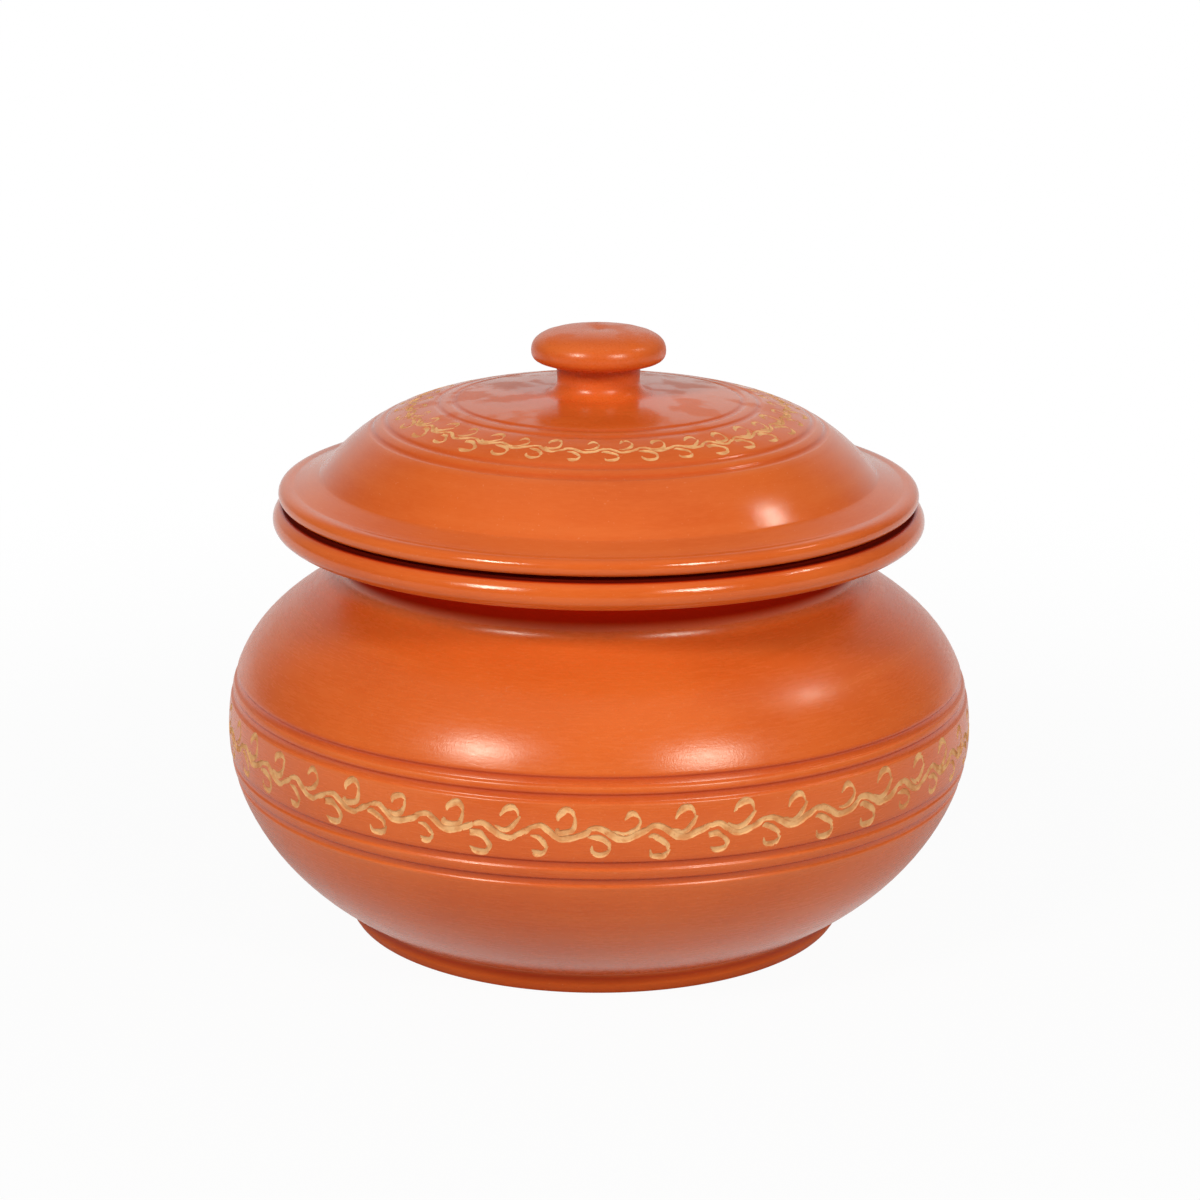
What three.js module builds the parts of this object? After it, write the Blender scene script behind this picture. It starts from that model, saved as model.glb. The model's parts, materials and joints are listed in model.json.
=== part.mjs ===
// A wheel-turned terracotta serving pot with its lid.
// Millimetres, +Z up. The origin is the centre of the foot, on the table.
// Every turned section is a list of (radius, height) points that runs anticlockwise:
// out along the underside, up the outside and back in to the axis, with the clay on its left.

import * as THREE from "three";

// Foot of the pot
const footRadius = 76.2;
const footHeight = 6.2;
const footFlare = 3.8;
const footRingWidth = 10;
const footRecess = 3;
const footEdge = 2;
const footEdgeSlope = 40;
const footSideSlope = 85;

// Belly of the pot: its widest place, and how fully it swells below and above
const bellyRadius = 115.5;
const bellyHeight = 61.5;
const footSlope = 36.6;
const lowerReach = 24.7;
const lowerFullness = 20.6;
const upperFullness = 20.8;
const shoulderReach = 26.2;
const shoulderSlope = 33.6;

// Neck, and the cove that carries it out under the rim
const neckRadius = 80;
const neckHeight = 117.6;
const neckFillet = 9;
const coveRise = 4;
const coveReach = 9;
const coveSlope = 5;

// Everted rim: its rounded outer edge, flat top and mouth
const rimRadius = 100.1;
const rimHeight = 133.2;
const rimThickness = 10.4;
const rimBead = 4.6;
const rimWidestDrop = 5.5;
const rimUnderSlope = 10;
const rimUnderFullness = 3.45;
const rimSideFullness = 2.3;
const rimShoulderFullness = 3;
const rimTopFullness = 3.45;
const mouthEdge = 3;

// Wall and floor of the pot
const wall = 6.5;
const floorThickness = 7.5;
const floorFlatRadius = 46;
const floorBend = 16;
const floorBendRise = 8;
const floorBendEnd = 0.08;

// Turned channels that frame the belly band
const bandTop = 74;
const bandBottom = 54.2;
const upperChannelSpacing = 4.6;
const lowerChannelSpacing = 5.5;
const bellyChannelWidth = 2.4;
const bellyChannelDepth = 0.7;

// Seat of the lid on the rim, and the flange that centres it in the mouth
const seatGap = 0.3;
const flangeClearance = 2;
const flangeWidth = 5.5;
const flangeDepth = 9;
const flangeEdge = 1.6;

// Brim of the lid
const brimRadius = 98.2;
const brimEdge = 0.9;
const brimThickness = 5.8;
const brimBead = 6.2;
const brimSideFullness = 2.15;
const brimTopFullness = 4.35;
const brimTopSlope = 13;

// Dome of the lid: where it leaves the brim, its height over the seat, and its fullness
const domeRadius = 85.6;
const domeFootHeight = 7.6;
const domeHeight = 32.1;
const domeFootSlope = 49.3;
const domeFullness = 26.2;
const crownReach = 36.4;
const crownSlope = 2;

// Hollow under the dome, and the shelf that joins it to the flange
const lidWall = 6.5;
const hollowStart = 13;
const shelfHeight = 6.5;
const shelfBevel = 1.5;
const shelfFillet = 3;

// Turned channels that frame the lid band, by radius
const lidChannelRadii = [69.5, 65.5, 49.3, 44.3];
const lidChannelWidth = 1.6;
const lidChannelDepth = 0.5;

// Knob: its neck, and the cap with a dimple on top
const knobHeight = 20;
const knobNeckRadius = 12.6;
const knobNeckTaper = 0.3;
const knobNeckFlare = 4.2;
const knobRadius = 20.6;
const knobCapThickness = 11;
const knobWidestDrop = 6.8;
const knobUnderReach = 6;
const knobUnderSlope = 5;
const knobSideFullness = 2.9;
const knobTopFullness = 14;
const knobShoulderFullness = 3.4;
const knobDimpleRadius = 4;
const knobDimpleDepth = 0.6;

// Facets round each turned piece, and straight steps along its round stretches
const facets = 48;
const edgeSteps = 2;
const bendSteps = 4;
const capSteps = 5;
const insideSteps = 7;
const hollowSteps = 8;
const bellySteps = 9;
const domeSteps = 10;

// How closely a place on a curve is found, and how near two points are one
const bisections = 40;
const coincident = 1e-4;

// Headings along a section, in degrees
const outwards = 0;
const upwards = 90;
const inwards = 180;
const downwards = 270;
const fullTurn = 360;

const clay = { roughness: 0.42, metalness: 0 };
const slipRed = 0xc9552a;

// A point of a turned section.
function at(radius, height) {
  return new THREE.Vector2(radius, height);
}

// A unit vector at an angle in degrees, anticlockwise from straight outwards.
function heading(degrees) {
  const angle = THREE.MathUtils.degToRad(degrees);
  return at(Math.cos(angle), Math.sin(angle));
}

// A smooth stretch that leaves one point and arrives at another along given headings.
function sweep(start, leaving, startReach, end, arriving, endReach) {
  return new THREE.CubicBezierCurve(
    start,
    start.clone().addScaledVector(heading(leaving), startReach),
    end.clone().addScaledVector(heading(arriving), -endReach),
    end,
  );
}

// A circular bend about a centre between two angles in degrees.
function arc(centre, radius, from, to) {
  return new THREE.EllipseCurve(
    centre.x,
    centre.y,
    radius,
    radius,
    THREE.MathUtils.degToRad(from),
    THREE.MathUtils.degToRad(to),
    to < from,
  );
}

// The point a given depth into the clay, square to a curve at a fraction of its length.
function into(curve, fraction, depth) {
  const tangent = curve.getTangentAt(fraction);
  const towardsClay = at(-tangent.y, tangent.x);
  return curve.getPointAt(fraction).addScaledVector(towardsClay, depth);
}

// Evenly spaced points along part of a curve, moved a given depth into the clay.
function trace(curve, steps, depth = 0, from = 0, to = 1) {
  const points = [];
  for (let i = 0; i <= steps; i += 1) {
    const fraction = THREE.MathUtils.lerp(from, to, i / steps);
    points.push(into(curve, fraction, depth));
  }
  return points;
}

// The fraction of a curve's length where its radius (x) or height (y) has a value.
function fractionWhere(curve, axis, value) {
  const rising = curve.getPointAt(1)[axis] > curve.getPointAt(0)[axis];
  let low = 0;
  let high = 1;
  for (let i = 0; i < bisections; i += 1) {
    const middle = (low + high) / 2;
    const below = curve.getPointAt(middle)[axis] < value;
    if (below === rising) low = middle;
    else high = middle;
  }
  return (low + high) / 2;
}

// Points along a curve with shallow flat-bottomed channels turned square into it.
// The channels' centres are fractions of the curve's length, in the order of the curve.
function traceWithChannels(curve, steps, centres, width, depth) {
  const length = curve.getLength();
  const half = width / 2 / length;
  const slope = depth / length;
  const points = [];
  let from = 0;
  for (const centre of [...centres, 1 + half]) {
    const to = centre - half;
    const stretch = Math.max(1, Math.round(steps * (to - from)));
    points.push(...trace(curve, stretch, 0, from, to));
    if (centre < 1) {
      points.push(into(curve, centre - half + slope, depth));
      points.push(into(curve, centre + half - slope, depth));
    }
    from = centre + half;
  }
  return points;
}

// A turned solid from its section, with repeated points left out.
function turned(section) {
  const points = section.filter(
    (point, i) => i === 0 || point.distanceTo(section[i - 1]) > coincident,
  );
  return new THREE.LatheGeometry(points, facets).rotateX(Math.PI / 2);
}

// Outside of the belly below its widest place, from the top of the foot ring.
function lowerBelly() {
  const start = at(footRadius + footFlare, footHeight);
  const widest = at(bellyRadius, bellyHeight);
  return sweep(start, footSlope, lowerReach, widest, upwards, lowerFullness);
}

// Outside of the neck, the concave bend between the shoulder and the upright throat.
function neckBend() {
  const centre = at(neckRadius + neckFillet, neckHeight);
  return arc(centre, neckFillet, downwards - shoulderSlope, inwards);
}

// Outside of the belly above its widest place, up to the neck.
function upperBelly() {
  const widest = at(bellyRadius, bellyHeight);
  const end = neckBend().getPointAt(0);
  return sweep(widest, upwards, upperFullness, end, inwards - shoulderSlope, shoulderReach);
}

// Underside and foot ring of the pot, from the axis to the foot of the belly.
function footSection() {
  const ringInside = footRadius - footRingWidth;
  const ringTop = at(footRadius + footFlare, footHeight);
  const ringEdge = sweep(
    at(footRadius, 0),
    footEdgeSlope,
    footEdge,
    ringTop,
    footSideSlope,
    footEdge,
  );
  return [
    at(0, footRecess),
    at(ringInside - footRecess, footRecess),
    at(ringInside, 0),
    ...trace(ringEdge, bendSteps),
  ];
}

// Everted rim: the cove under it, its rounded edge, its flat top and the edge of the mouth.
function rimSection() {
  const beadRadius = rimRadius - rimBead;
  const neckTop = at(neckRadius, neckHeight);
  const beadBottom = at(beadRadius, rimHeight - rimThickness);
  const beadTop = at(beadRadius, rimHeight);
  const widest = at(rimRadius, rimHeight - rimWidestDrop);
  const mouth = at(neckRadius - wall + mouthEdge, rimHeight - mouthEdge);
  const cove = sweep(neckTop, upwards, coveRise, beadBottom, coveSlope, coveReach);
  const lowerEdge = sweep(
    beadBottom,
    rimUnderSlope,
    rimUnderFullness,
    widest,
    upwards,
    rimSideFullness,
  );
  const upperEdge = sweep(
    widest,
    upwards,
    rimShoulderFullness,
    beadTop,
    inwards,
    rimTopFullness,
  );
  return [
    ...trace(cove, bendSteps),
    ...trace(lowerEdge, bendSteps),
    ...trace(upperEdge, bendSteps),
    ...trace(arc(mouth, mouthEdge, upwards, inwards), bendSteps),
  ];
}

// Inside of the pot, an even wall behind its outside, from the throat down to the floor.
function insideSection() {
  const floorHeight = footRecess + floorThickness;
  const lower = lowerBelly();
  const bendEnd = into(lower, floorBendEnd, wall);
  const bendSlope = THREE.MathUtils.radToDeg(lower.getTangentAt(floorBendEnd).angle());
  const floorCurve = sweep(
    at(floorFlatRadius, floorHeight),
    outwards,
    floorBend,
    bendEnd,
    bendSlope,
    floorBendRise,
  );
  return [
    at(0, floorHeight),
    ...trace(floorCurve, bendSteps),
    ...trace(lower, insideSteps, wall, floorBendEnd, 1),
    ...trace(upperBelly(), insideSteps, wall),
    ...trace(neckBend(), bendSteps, wall),
  ].reverse();
}

// The outside of a stretch of belly with channels at the given heights.
function channelledBelly(curve, heights) {
  return traceWithChannels(
    curve,
    bellySteps,
    heights.map((height) => fractionWhere(curve, "y", height)),
    bellyChannelWidth,
    bellyChannelDepth,
  );
}

// The whole section of the pot.
function potSection() {
  return [
    ...footSection(),
    ...channelledBelly(lowerBelly(), [bandBottom - lowerChannelSpacing, bandBottom]),
    ...channelledBelly(upperBelly(), [bandTop, bandTop + upperChannelSpacing]),
    ...trace(neckBend(), bendSteps),
    ...rimSection(),
    ...insideSection(),
  ];
}

// Outside of the lid's dome, from its brim up to the crown round the knob.
function domeCurve() {
  const start = at(domeRadius, domeFootHeight);
  const crown = at(knobNeckRadius + knobNeckFlare, domeHeight);
  return sweep(
    start,
    inwards - domeFootSlope,
    domeFullness,
    crown,
    inwards - crownSlope,
    crownReach,
  );
}

// Underside of the lid: its hollow, the shelf inside the brim, the flange and the seat.
function lidUndersideSection() {
  const flangeOutside = neckRadius - wall - flangeClearance;
  const flangeInside = flangeOutside - flangeWidth;
  const flangeBottom = flangeEdge - flangeDepth;
  const dome = domeCurve();
  const start = fractionWhere(dome, "y", hollowStart);
  const hollow = trace(dome, hollowSteps, lidWall, start, 1).reverse();
  const shelfCentre = at(flangeInside + shelfFillet, shelfHeight - shelfFillet);
  const innerEdge = at(flangeInside + flangeEdge, flangeBottom);
  const outerEdge = at(flangeOutside - flangeEdge, flangeBottom);
  return [
    at(0, hollow[0].y),
    ...hollow,
    at(hollow.at(-1).x - shelfBevel, shelfHeight),
    ...trace(arc(shelfCentre, shelfFillet, upwards, inwards), edgeSteps),
    ...trace(arc(innerEdge, flangeEdge, inwards, downwards), edgeSteps),
    ...trace(arc(outerEdge, flangeEdge, downwards, fullTurn), edgeSteps),
    at(flangeOutside, 0),
  ];
}

// Brim of the lid, from the edge of its seat to the foot of the dome.
function brimSection() {
  const lowerCentre = at(brimRadius - brimEdge, brimEdge);
  const upperEdge = sweep(
    at(brimRadius, brimEdge),
    upwards,
    brimSideFullness,
    at(brimRadius - brimBead, brimThickness),
    inwards - brimTopSlope,
    brimTopFullness,
  );
  return [
    ...trace(arc(lowerCentre, brimEdge, downwards, fullTurn), edgeSteps),
    ...trace(upperEdge, bendSteps),
  ];
}

// Knob, from the crown of the dome up its neck and over its cap to the axis.
function knobSection() {
  const top = domeHeight + knobHeight;
  const flareCentre = at(knobNeckRadius + knobNeckFlare, domeHeight + knobNeckFlare);
  const crease = at(knobNeckRadius + knobNeckTaper, top - knobCapThickness);
  const widest = at(knobRadius, top - knobWidestDrop);
  const under = sweep(
    crease,
    knobUnderSlope,
    knobUnderReach,
    widest,
    upwards,
    knobSideFullness,
  );
  const cap = sweep(
    widest,
    upwards,
    knobShoulderFullness,
    at(knobDimpleRadius, top),
    inwards,
    knobTopFullness - knobDimpleRadius,
  );
  return [
    ...trace(arc(flareCentre, knobNeckFlare, downwards, inwards), bendSteps),
    ...trace(under, bendSteps),
    ...trace(cap, capSteps),
    at(0, top - knobDimpleDepth),
  ];
}

// The whole section of the lid, with its height counted from its seat.
function lidSection() {
  const dome = domeCurve();
  const centres = lidChannelRadii.map((radius) => fractionWhere(dome, "x", radius));
  return [
    ...lidUndersideSection(),
    ...brimSection(),
    ...traceWithChannels(dome, domeSteps, centres, lidChannelWidth, lidChannelDepth),
    ...knobSection(),
  ];
}

// A named piece of fired clay.
function piece(name, section) {
  const material = new THREE.MeshStandardMaterial({ color: slipRed, ...clay });
  const mesh = new THREE.Mesh(turned(section), material);
  mesh.name = name;
  return mesh;
}

const pot = piece("pot", potSection());

const lid = piece("lid", lidSection());
lid.position.z = rimHeight + seatGap;

const servingPot = new THREE.Group();
servingPot.add(pot, lid);

export default servingPot;
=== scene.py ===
"""Looks of a wheel-turned terracotta serving pot with its lid.

Sizes and sections are in millimetres, and become metres where a mesh is made. A section is a
line of (radius, height) points that runs anticlockwise: out along the underside, up the outside
and back in to the axis, with the clay on its left.
"""

import json
import logging
import math
from dataclasses import dataclass, field
from enum import Enum
from typing import Any, Callable, Mapping, Sequence, Union

import bmesh
import bpy
import numpy as np
from mathutils import Matrix, Vector

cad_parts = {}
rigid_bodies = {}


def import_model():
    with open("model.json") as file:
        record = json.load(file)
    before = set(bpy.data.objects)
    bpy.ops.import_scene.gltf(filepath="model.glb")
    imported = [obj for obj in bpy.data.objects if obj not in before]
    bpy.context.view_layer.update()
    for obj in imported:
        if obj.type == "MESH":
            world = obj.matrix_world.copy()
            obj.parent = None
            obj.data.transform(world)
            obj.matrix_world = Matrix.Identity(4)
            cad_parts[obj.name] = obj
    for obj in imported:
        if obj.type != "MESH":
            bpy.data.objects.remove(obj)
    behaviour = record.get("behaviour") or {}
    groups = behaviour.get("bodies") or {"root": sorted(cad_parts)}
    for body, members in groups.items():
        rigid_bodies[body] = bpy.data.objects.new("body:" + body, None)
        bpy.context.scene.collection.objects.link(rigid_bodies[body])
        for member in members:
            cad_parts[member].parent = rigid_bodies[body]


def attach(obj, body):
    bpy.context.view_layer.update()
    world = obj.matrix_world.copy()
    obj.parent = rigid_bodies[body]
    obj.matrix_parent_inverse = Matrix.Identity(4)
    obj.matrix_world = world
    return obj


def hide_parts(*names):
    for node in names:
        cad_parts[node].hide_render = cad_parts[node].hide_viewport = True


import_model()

MM = 0.001
SHARP_DEGREES = 30.0

OUTWARDS = 0.0
UPWARDS = 90.0
INWARDS = 180.0
DOWNWARDS = 270.0
FULL_TURN = 360.0

BARE = 1.0

log = logging.getLogger("serving_pot")


def at(radius: float, height: float) -> np.ndarray:
    """A point of a turned section."""
    return np.array([radius, height], float)


def heading(degrees: float) -> np.ndarray:
    """A unit vector at an angle, anticlockwise from straight outwards."""
    angle = math.radians(degrees)
    return at(math.cos(angle), math.sin(angle))


def spans(points: np.ndarray) -> np.ndarray:
    """The distance from each point of a line to the next."""
    return np.linalg.norm(np.diff(points, axis=0), axis=1)


def unit(vectors: np.ndarray) -> np.ndarray:
    """Vectors with their length made 1."""
    return vectors / np.linalg.norm(vectors, axis=-1, keepdims=True)


End = tuple[np.ndarray, float, float]


class Stretch:
    """A smooth stretch of a turned section, measured by length along it."""

    STEP = 0.05
    SAME = 1e-9
    SWEEP_POINTS = 1201
    ARC_POINTS = 401
    INSET_POINTS = 400

    def __init__(self, points: np.ndarray) -> None:
        """Keeps a dense line of points.

        Args:
            points: The line's (radius, height) points, close together.
        """
        gaps = spans(points)
        moved = gaps > self.SAME
        self.points = points[np.concatenate([[True], moved])]
        self.lengths = np.concatenate([[0.0], np.cumsum(gaps[moved])])

    @classmethod
    def sweep(cls, start: End, end: End) -> "Stretch":
        """A cubic sweep between two points.

        Args:
            start: Where it starts, its heading there in degrees, and how strongly it keeps it.
            end: The same where it ends.

        Returns:
            The stretch.
        """
        (here, leaving, start_reach), (there, arriving, end_reach) = start, end
        first = here + heading(leaving) * start_reach
        second = there - heading(arriving) * end_reach
        t = np.linspace(0, 1, cls.SWEEP_POINTS)[:, None]
        s = 1 - t
        return cls(s**3 * here + 3 * s**2 * t * first + 3 * s * t**2 * second + t**3 * there)

    @classmethod
    def arc(cls, centre: np.ndarray, radius: float, first: float, last: float) -> "Stretch":
        """A circular bend round a centre, from one angle to another in degrees."""
        angles = np.radians(np.linspace(first, last, cls.ARC_POINTS))
        return cls(centre + radius * np.stack([np.cos(angles), np.sin(angles)], 1))

    @classmethod
    def line(cls, *corners: np.ndarray) -> "Stretch":
        """A stretch of straight lines.

        Args:
            corners: The points that the lines join.

        Returns:
            The stretch.
        """
        parts = []
        for a, b in zip(corners[:-1], corners[1:]):
            steps = max(2, int(np.linalg.norm(b - a) / cls.STEP))
            parts.append(a + (b - a) * np.linspace(0, 1, steps)[:, None])
        return cls(np.concatenate(parts))

    @classmethod
    def joined(cls, *parts: "Stretch") -> "Stretch":
        """Stretches joined end to end."""
        return cls(np.concatenate([part.points for part in parts]))

    @property
    def length(self) -> float:
        """Its whole length."""
        return float(self.lengths[-1])

    def point(self, length: Union[float, np.ndarray]) -> np.ndarray:
        """The point or points at a length or lengths along it.

        Args:
            length: The length or lengths.

        Returns:
            The (radius, height) of each.
        """
        radius = np.interp(length, self.lengths, self.points[:, 0])
        height = np.interp(length, self.lengths, self.points[:, 1])
        return np.stack([radius, height], -1)

    def outward(self, length: Union[float, np.ndarray], reach: float = 0.1) -> np.ndarray:
        """The unit vector or vectors out of the clay.

        Args:
            length: The length or lengths along it.
            reach: How far to either side its slope is measured.

        Returns:
            The (radius, height) of each vector.
        """
        ahead = self.point(np.minimum(np.add(length, reach), self.length))
        behind = self.point(np.maximum(np.subtract(length, reach), 0))
        along = unit(ahead - behind)
        return np.stack([along[..., 1], -along[..., 0]], -1)

    def where(self, axis: int, value: float) -> float:
        """The length along it where its radius or height has a value.

        Args:
            axis: 0 for the radius, 1 for the height.
            value: The value.

        Returns:
            The length.
        """
        line = self.points[:, axis]
        order = slice(None) if line[-1] > line[0] else slice(None, None, -1)
        return float(np.interp(value, line[order], self.lengths[order]))

    def inset(self, depth: float, first: float = 0.0, last: float = 1.0) -> "Stretch":
        """The line a depth behind it in the clay, between two shares of its length."""
        lengths = np.linspace(first * self.length, last * self.length, self.INSET_POINTS)
        return Stretch(self.point(lengths) - depth * self.outward(lengths))


@dataclass(frozen=True)
class Channel:
    """A groove turned into the outside with a rounded tool, with softened lips."""

    # Weights of the painted shade under the upper lip and on the floor, and of the pale lips:
    # partly wear and partly painted highlight, stronger on the lower lip, which faces the light.
    UNDER_LIP = 0.75
    ON_FLOOR = 0.2
    LIP_LINE_OFFSET = 1.3
    LIP_LINE_SPREAD = 0.6
    WEAR_AND_HIGHLIGHT_ABOVE = 0.2
    WEAR_AND_HIGHLIGHT_BELOW = 0.4

    centre: float
    width: float
    depth: float
    lip: float = 0.35
    groove_shading: float = 1.0

    def shade(self, lengths: np.ndarray) -> np.ndarray:
        """Painted shade in the groove, and pale lips that are partly wear and partly highlight.

        Args:
            lengths: Lengths along its stretch.

        Returns:
            The painted shade at each, below 0 where a lip is painted pale.
        """
        above = lengths - self.centre
        below = (above - self.width / 2) / self.lip
        # Painted shade under the upper lip and along the groove's floor.
        groove_dark = self.UNDER_LIP * np.exp(-below * below / 2)
        groove_dark = groove_dark + self.ON_FLOOR * self.cut(lengths) / self.depth
        # Pale lips, partly wear and partly painted highlight, more on the lower lip.
        edge = (np.abs(above) - self.width / 2) / self.lip
        edge = (edge - self.LIP_LINE_OFFSET) / self.LIP_LINE_SPREAD
        rubbed = np.where(above > 0, self.WEAR_AND_HIGHLIGHT_ABOVE, self.WEAR_AND_HIGHLIGHT_BELOW)
        return self.groove_shading * groove_dark - rubbed * np.exp(-edge * edge / 2)

    def cut(self, lengths: np.ndarray) -> np.ndarray:
        """How deep it is.

        Args:
            lengths: Lengths along its stretch.

        Returns:
            The depth at each.
        """
        edge = np.abs(lengths - self.centre) - self.width / 2
        wall = np.clip(0.5 - edge / (2 * self.lip), 0, 1)
        return self.depth * wall * wall * (3 - 2 * wall)


@dataclass(frozen=True)
class Skin:
    """A stretch of a section with its surface.

    A matt below 0 is slip burnished twice, 0 is burnished slip, 0.5 is slip left rough and 1 is
    bare clay. A shade of 1 paints the deep red of shade in a hollow or a groove, 2 paints the near
    black of the shadow under the lid's edge, and below 0 it paints pale lips, partly wear and
    partly highlight.
    """

    line: Stretch
    matt: float = 0.0
    shade: Union[float, np.ndarray] = 0.0

    def lifted(self, rise: float) -> "Skin":
        """The same stretch higher up."""
        return Skin(Stretch(self.line.points + at(0, rise)), self.matt, self.shade)

    def channelled(self, channels: Sequence[Channel]) -> "Skin":
        """The stretch with channels turned into it.

        Args:
            channels: The channels, with their centres as lengths along it.

        Returns:
            The cut stretch, with painted shade in the channels and pale lips round them.
        """
        lengths = np.arange(0, self.line.length, Stretch.STEP)
        depth = np.sum([channel.cut(lengths) for channel in channels], axis=0)
        cut = Stretch(self.line.point(lengths) - depth[:, None] * self.line.outward(lengths))
        shade = self.shade + np.sum([channel.shade(lengths) for channel in channels], axis=0)
        return Skin(cut, self.matt, shade)


@dataclass(frozen=True)
class Section:
    """A whole turned section."""

    skins: Sequence[Skin]

    def dense(self) -> tuple[np.ndarray, np.ndarray]:
        """The section as one line of close points.

        Returns:
            The points, and the matt and shade at each of them.
        """
        points = np.concatenate([skin.line.points for skin in self.skins])
        looks = []
        for skin in self.skins:
            blank = np.zeros(len(skin.line.points))
            looks.append(np.stack([blank + skin.matt, blank + skin.shade], 1))
        keep = np.concatenate([[True], spans(points) > Stretch.SAME])
        return points[keep], np.concatenate(looks)[keep]


@dataclass(frozen=True)
class Turning:
    """How finely a section is followed, and how soft the wheel leaves its edges."""

    BELL_REACH = 3

    softening: float = 0.22
    fade: float = 0.5
    bend: float = 11.0
    finest: float = 0.2
    throw: float = 0.16
    throw_pitch: float = 7.5
    throw_fade: float = 20.0
    steps_round: int = 200
    wobble: float = 0.05

    def rows(
        self,
        section: Section,
        widest: Callable[[np.ndarray], np.ndarray],
        drift: Callable[[np.ndarray], np.ndarray],
    ) -> "Rows":
        """The rows of a turned surface, close together where the section bends.

        Args:
            section: The section.
            widest: The largest gap between rows at each of some points.
            drift: How far off the axis the rings lie at each of some heights.

        Returns:
            The rows.
        """
        points, looks = section.dense()
        line = Stretch(points)
        even = np.arange(0, line.length, Stretch.STEP)
        soft = self.smooth(line.point(even), self.softening / Stretch.STEP)
        soft[0, 0] = soft[-1, 0] = 0.0
        looks = np.stack([np.interp(even, line.lengths, look) for look in looks.T], 1)
        looks = self.smooth(looks, self.fade / Stretch.STEP)
        along = np.gradient(soft, axis=0)
        angle = np.unwrap(np.arctan2(along[:, 1], along[:, 0]))
        curvature = np.abs(np.gradient(angle)) / Stretch.STEP
        density = np.maximum(1 / widest(soft), curvature / math.radians(self.bend))
        density = np.minimum(density, 1 / self.finest)
        density = self.smooth(density[:, None], self.softening / Stretch.STEP)[:, 0]
        total = np.concatenate([[0.0], np.cumsum((density[1:] + density[:-1]) / 2 * Stretch.STEP)])
        chosen = np.interp(np.linspace(0, total[-1], int(math.ceil(total[-1])) + 1), total, even)
        radius, height, matt, shade = (
            np.interp(chosen, even, column) for column in (*soft.T, *looks.T)
        )
        bare = np.clip(2 * matt - 1, 0, 1)
        throw = self.throw * bare * np.clip(radius / self.throw_fade, 0, 1)
        points, lap = np.stack([radius, height], 1), chosen / self.throw_pitch
        return Rows(points, matt, shade, drift(height), throw, lap)

    @staticmethod
    def smooth(values: np.ndarray, spread: float) -> np.ndarray:
        """Values softened by a bell, with their ends held.

        Args:
            values: The values, a row for each step.
            spread: The bell's spread, in steps.

        Returns:
            The softened values.
        """
        reach = int(math.ceil(Turning.BELL_REACH * spread))
        bell = np.exp(-0.5 * (np.arange(-reach, reach + 1) / spread) ** 2)
        bell /= bell.sum()
        before = 2 * values[0] - values[reach:0:-1]
        after = 2 * values[-1] - values[-2 : -reach - 2 : -1]
        padded = np.concatenate([before, values, after])
        return np.stack([np.convolve(column, bell, "valid") for column in padded.T], 1)


Term = Union["Wire", float, int, bool, str, Sequence[float], bpy.types.ID]
VECTORS = ("VECTOR", "RGBA")


class Wire:
    """A value in a node tree. Arithmetic on it adds Math nodes to the tree."""

    def __init__(self, graph: "Graph", socket: bpy.types.NodeSocket) -> None:
        """Keeps the tree's graph and the socket that gives the value."""
        self.graph = graph
        self.socket = socket

    def _combine(self, operation: str, first: Term, second: Term) -> "Wire":
        """A Math node on two terms, or a Vector Math node where this is a vector or a colour."""
        kind = "ShaderNodeVectorMath" if self.socket.type in VECTORS else "ShaderNodeMath"
        return self.graph.wire(kind, {"operation": operation}, {0: first, 1: second})

    def __add__(self, other: Term) -> "Wire":
        """Sum."""
        return self._combine("ADD", self, other)

    __radd__ = __add__

    def __sub__(self, other: Term) -> "Wire":
        """Difference."""
        return self._combine("SUBTRACT", self, other)

    def __rsub__(self, other: Term) -> "Wire":
        """Difference from the right."""
        return self._combine("SUBTRACT", other, self)

    def __mul__(self, other: Term) -> "Wire":
        """Product."""
        return self._combine("MULTIPLY", self, other)

    __rmul__ = __mul__

    def __truediv__(self, other: Term) -> "Wire":
        """Quotient."""
        return self._combine("DIVIDE", self, other)

    def math(self, operation: str, other: Term = 0.0) -> "Wire":
        """Any other operation of a Math or Vector Math node."""
        return self._combine(operation, self, other)

    def ramp(self, low: float, high: float) -> "Wire":
        """A smooth step from 0 at a low value to 1 at a high one."""
        inputs = {"Value": self, "From Min": low, "From Max": high}
        return self.graph.wire("ShaderNodeMapRange", {"interpolation_type": "SMOOTHSTEP"}, inputs)

    def parts(self) -> tuple["Wire", "Wire", "Wire"]:
        """The x, y and z of a vector."""
        node = self.graph.add("ShaderNodeSeparateXYZ", {}, {0: self})
        return tuple(Wire(self.graph, output) for output in node.outputs)


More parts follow.
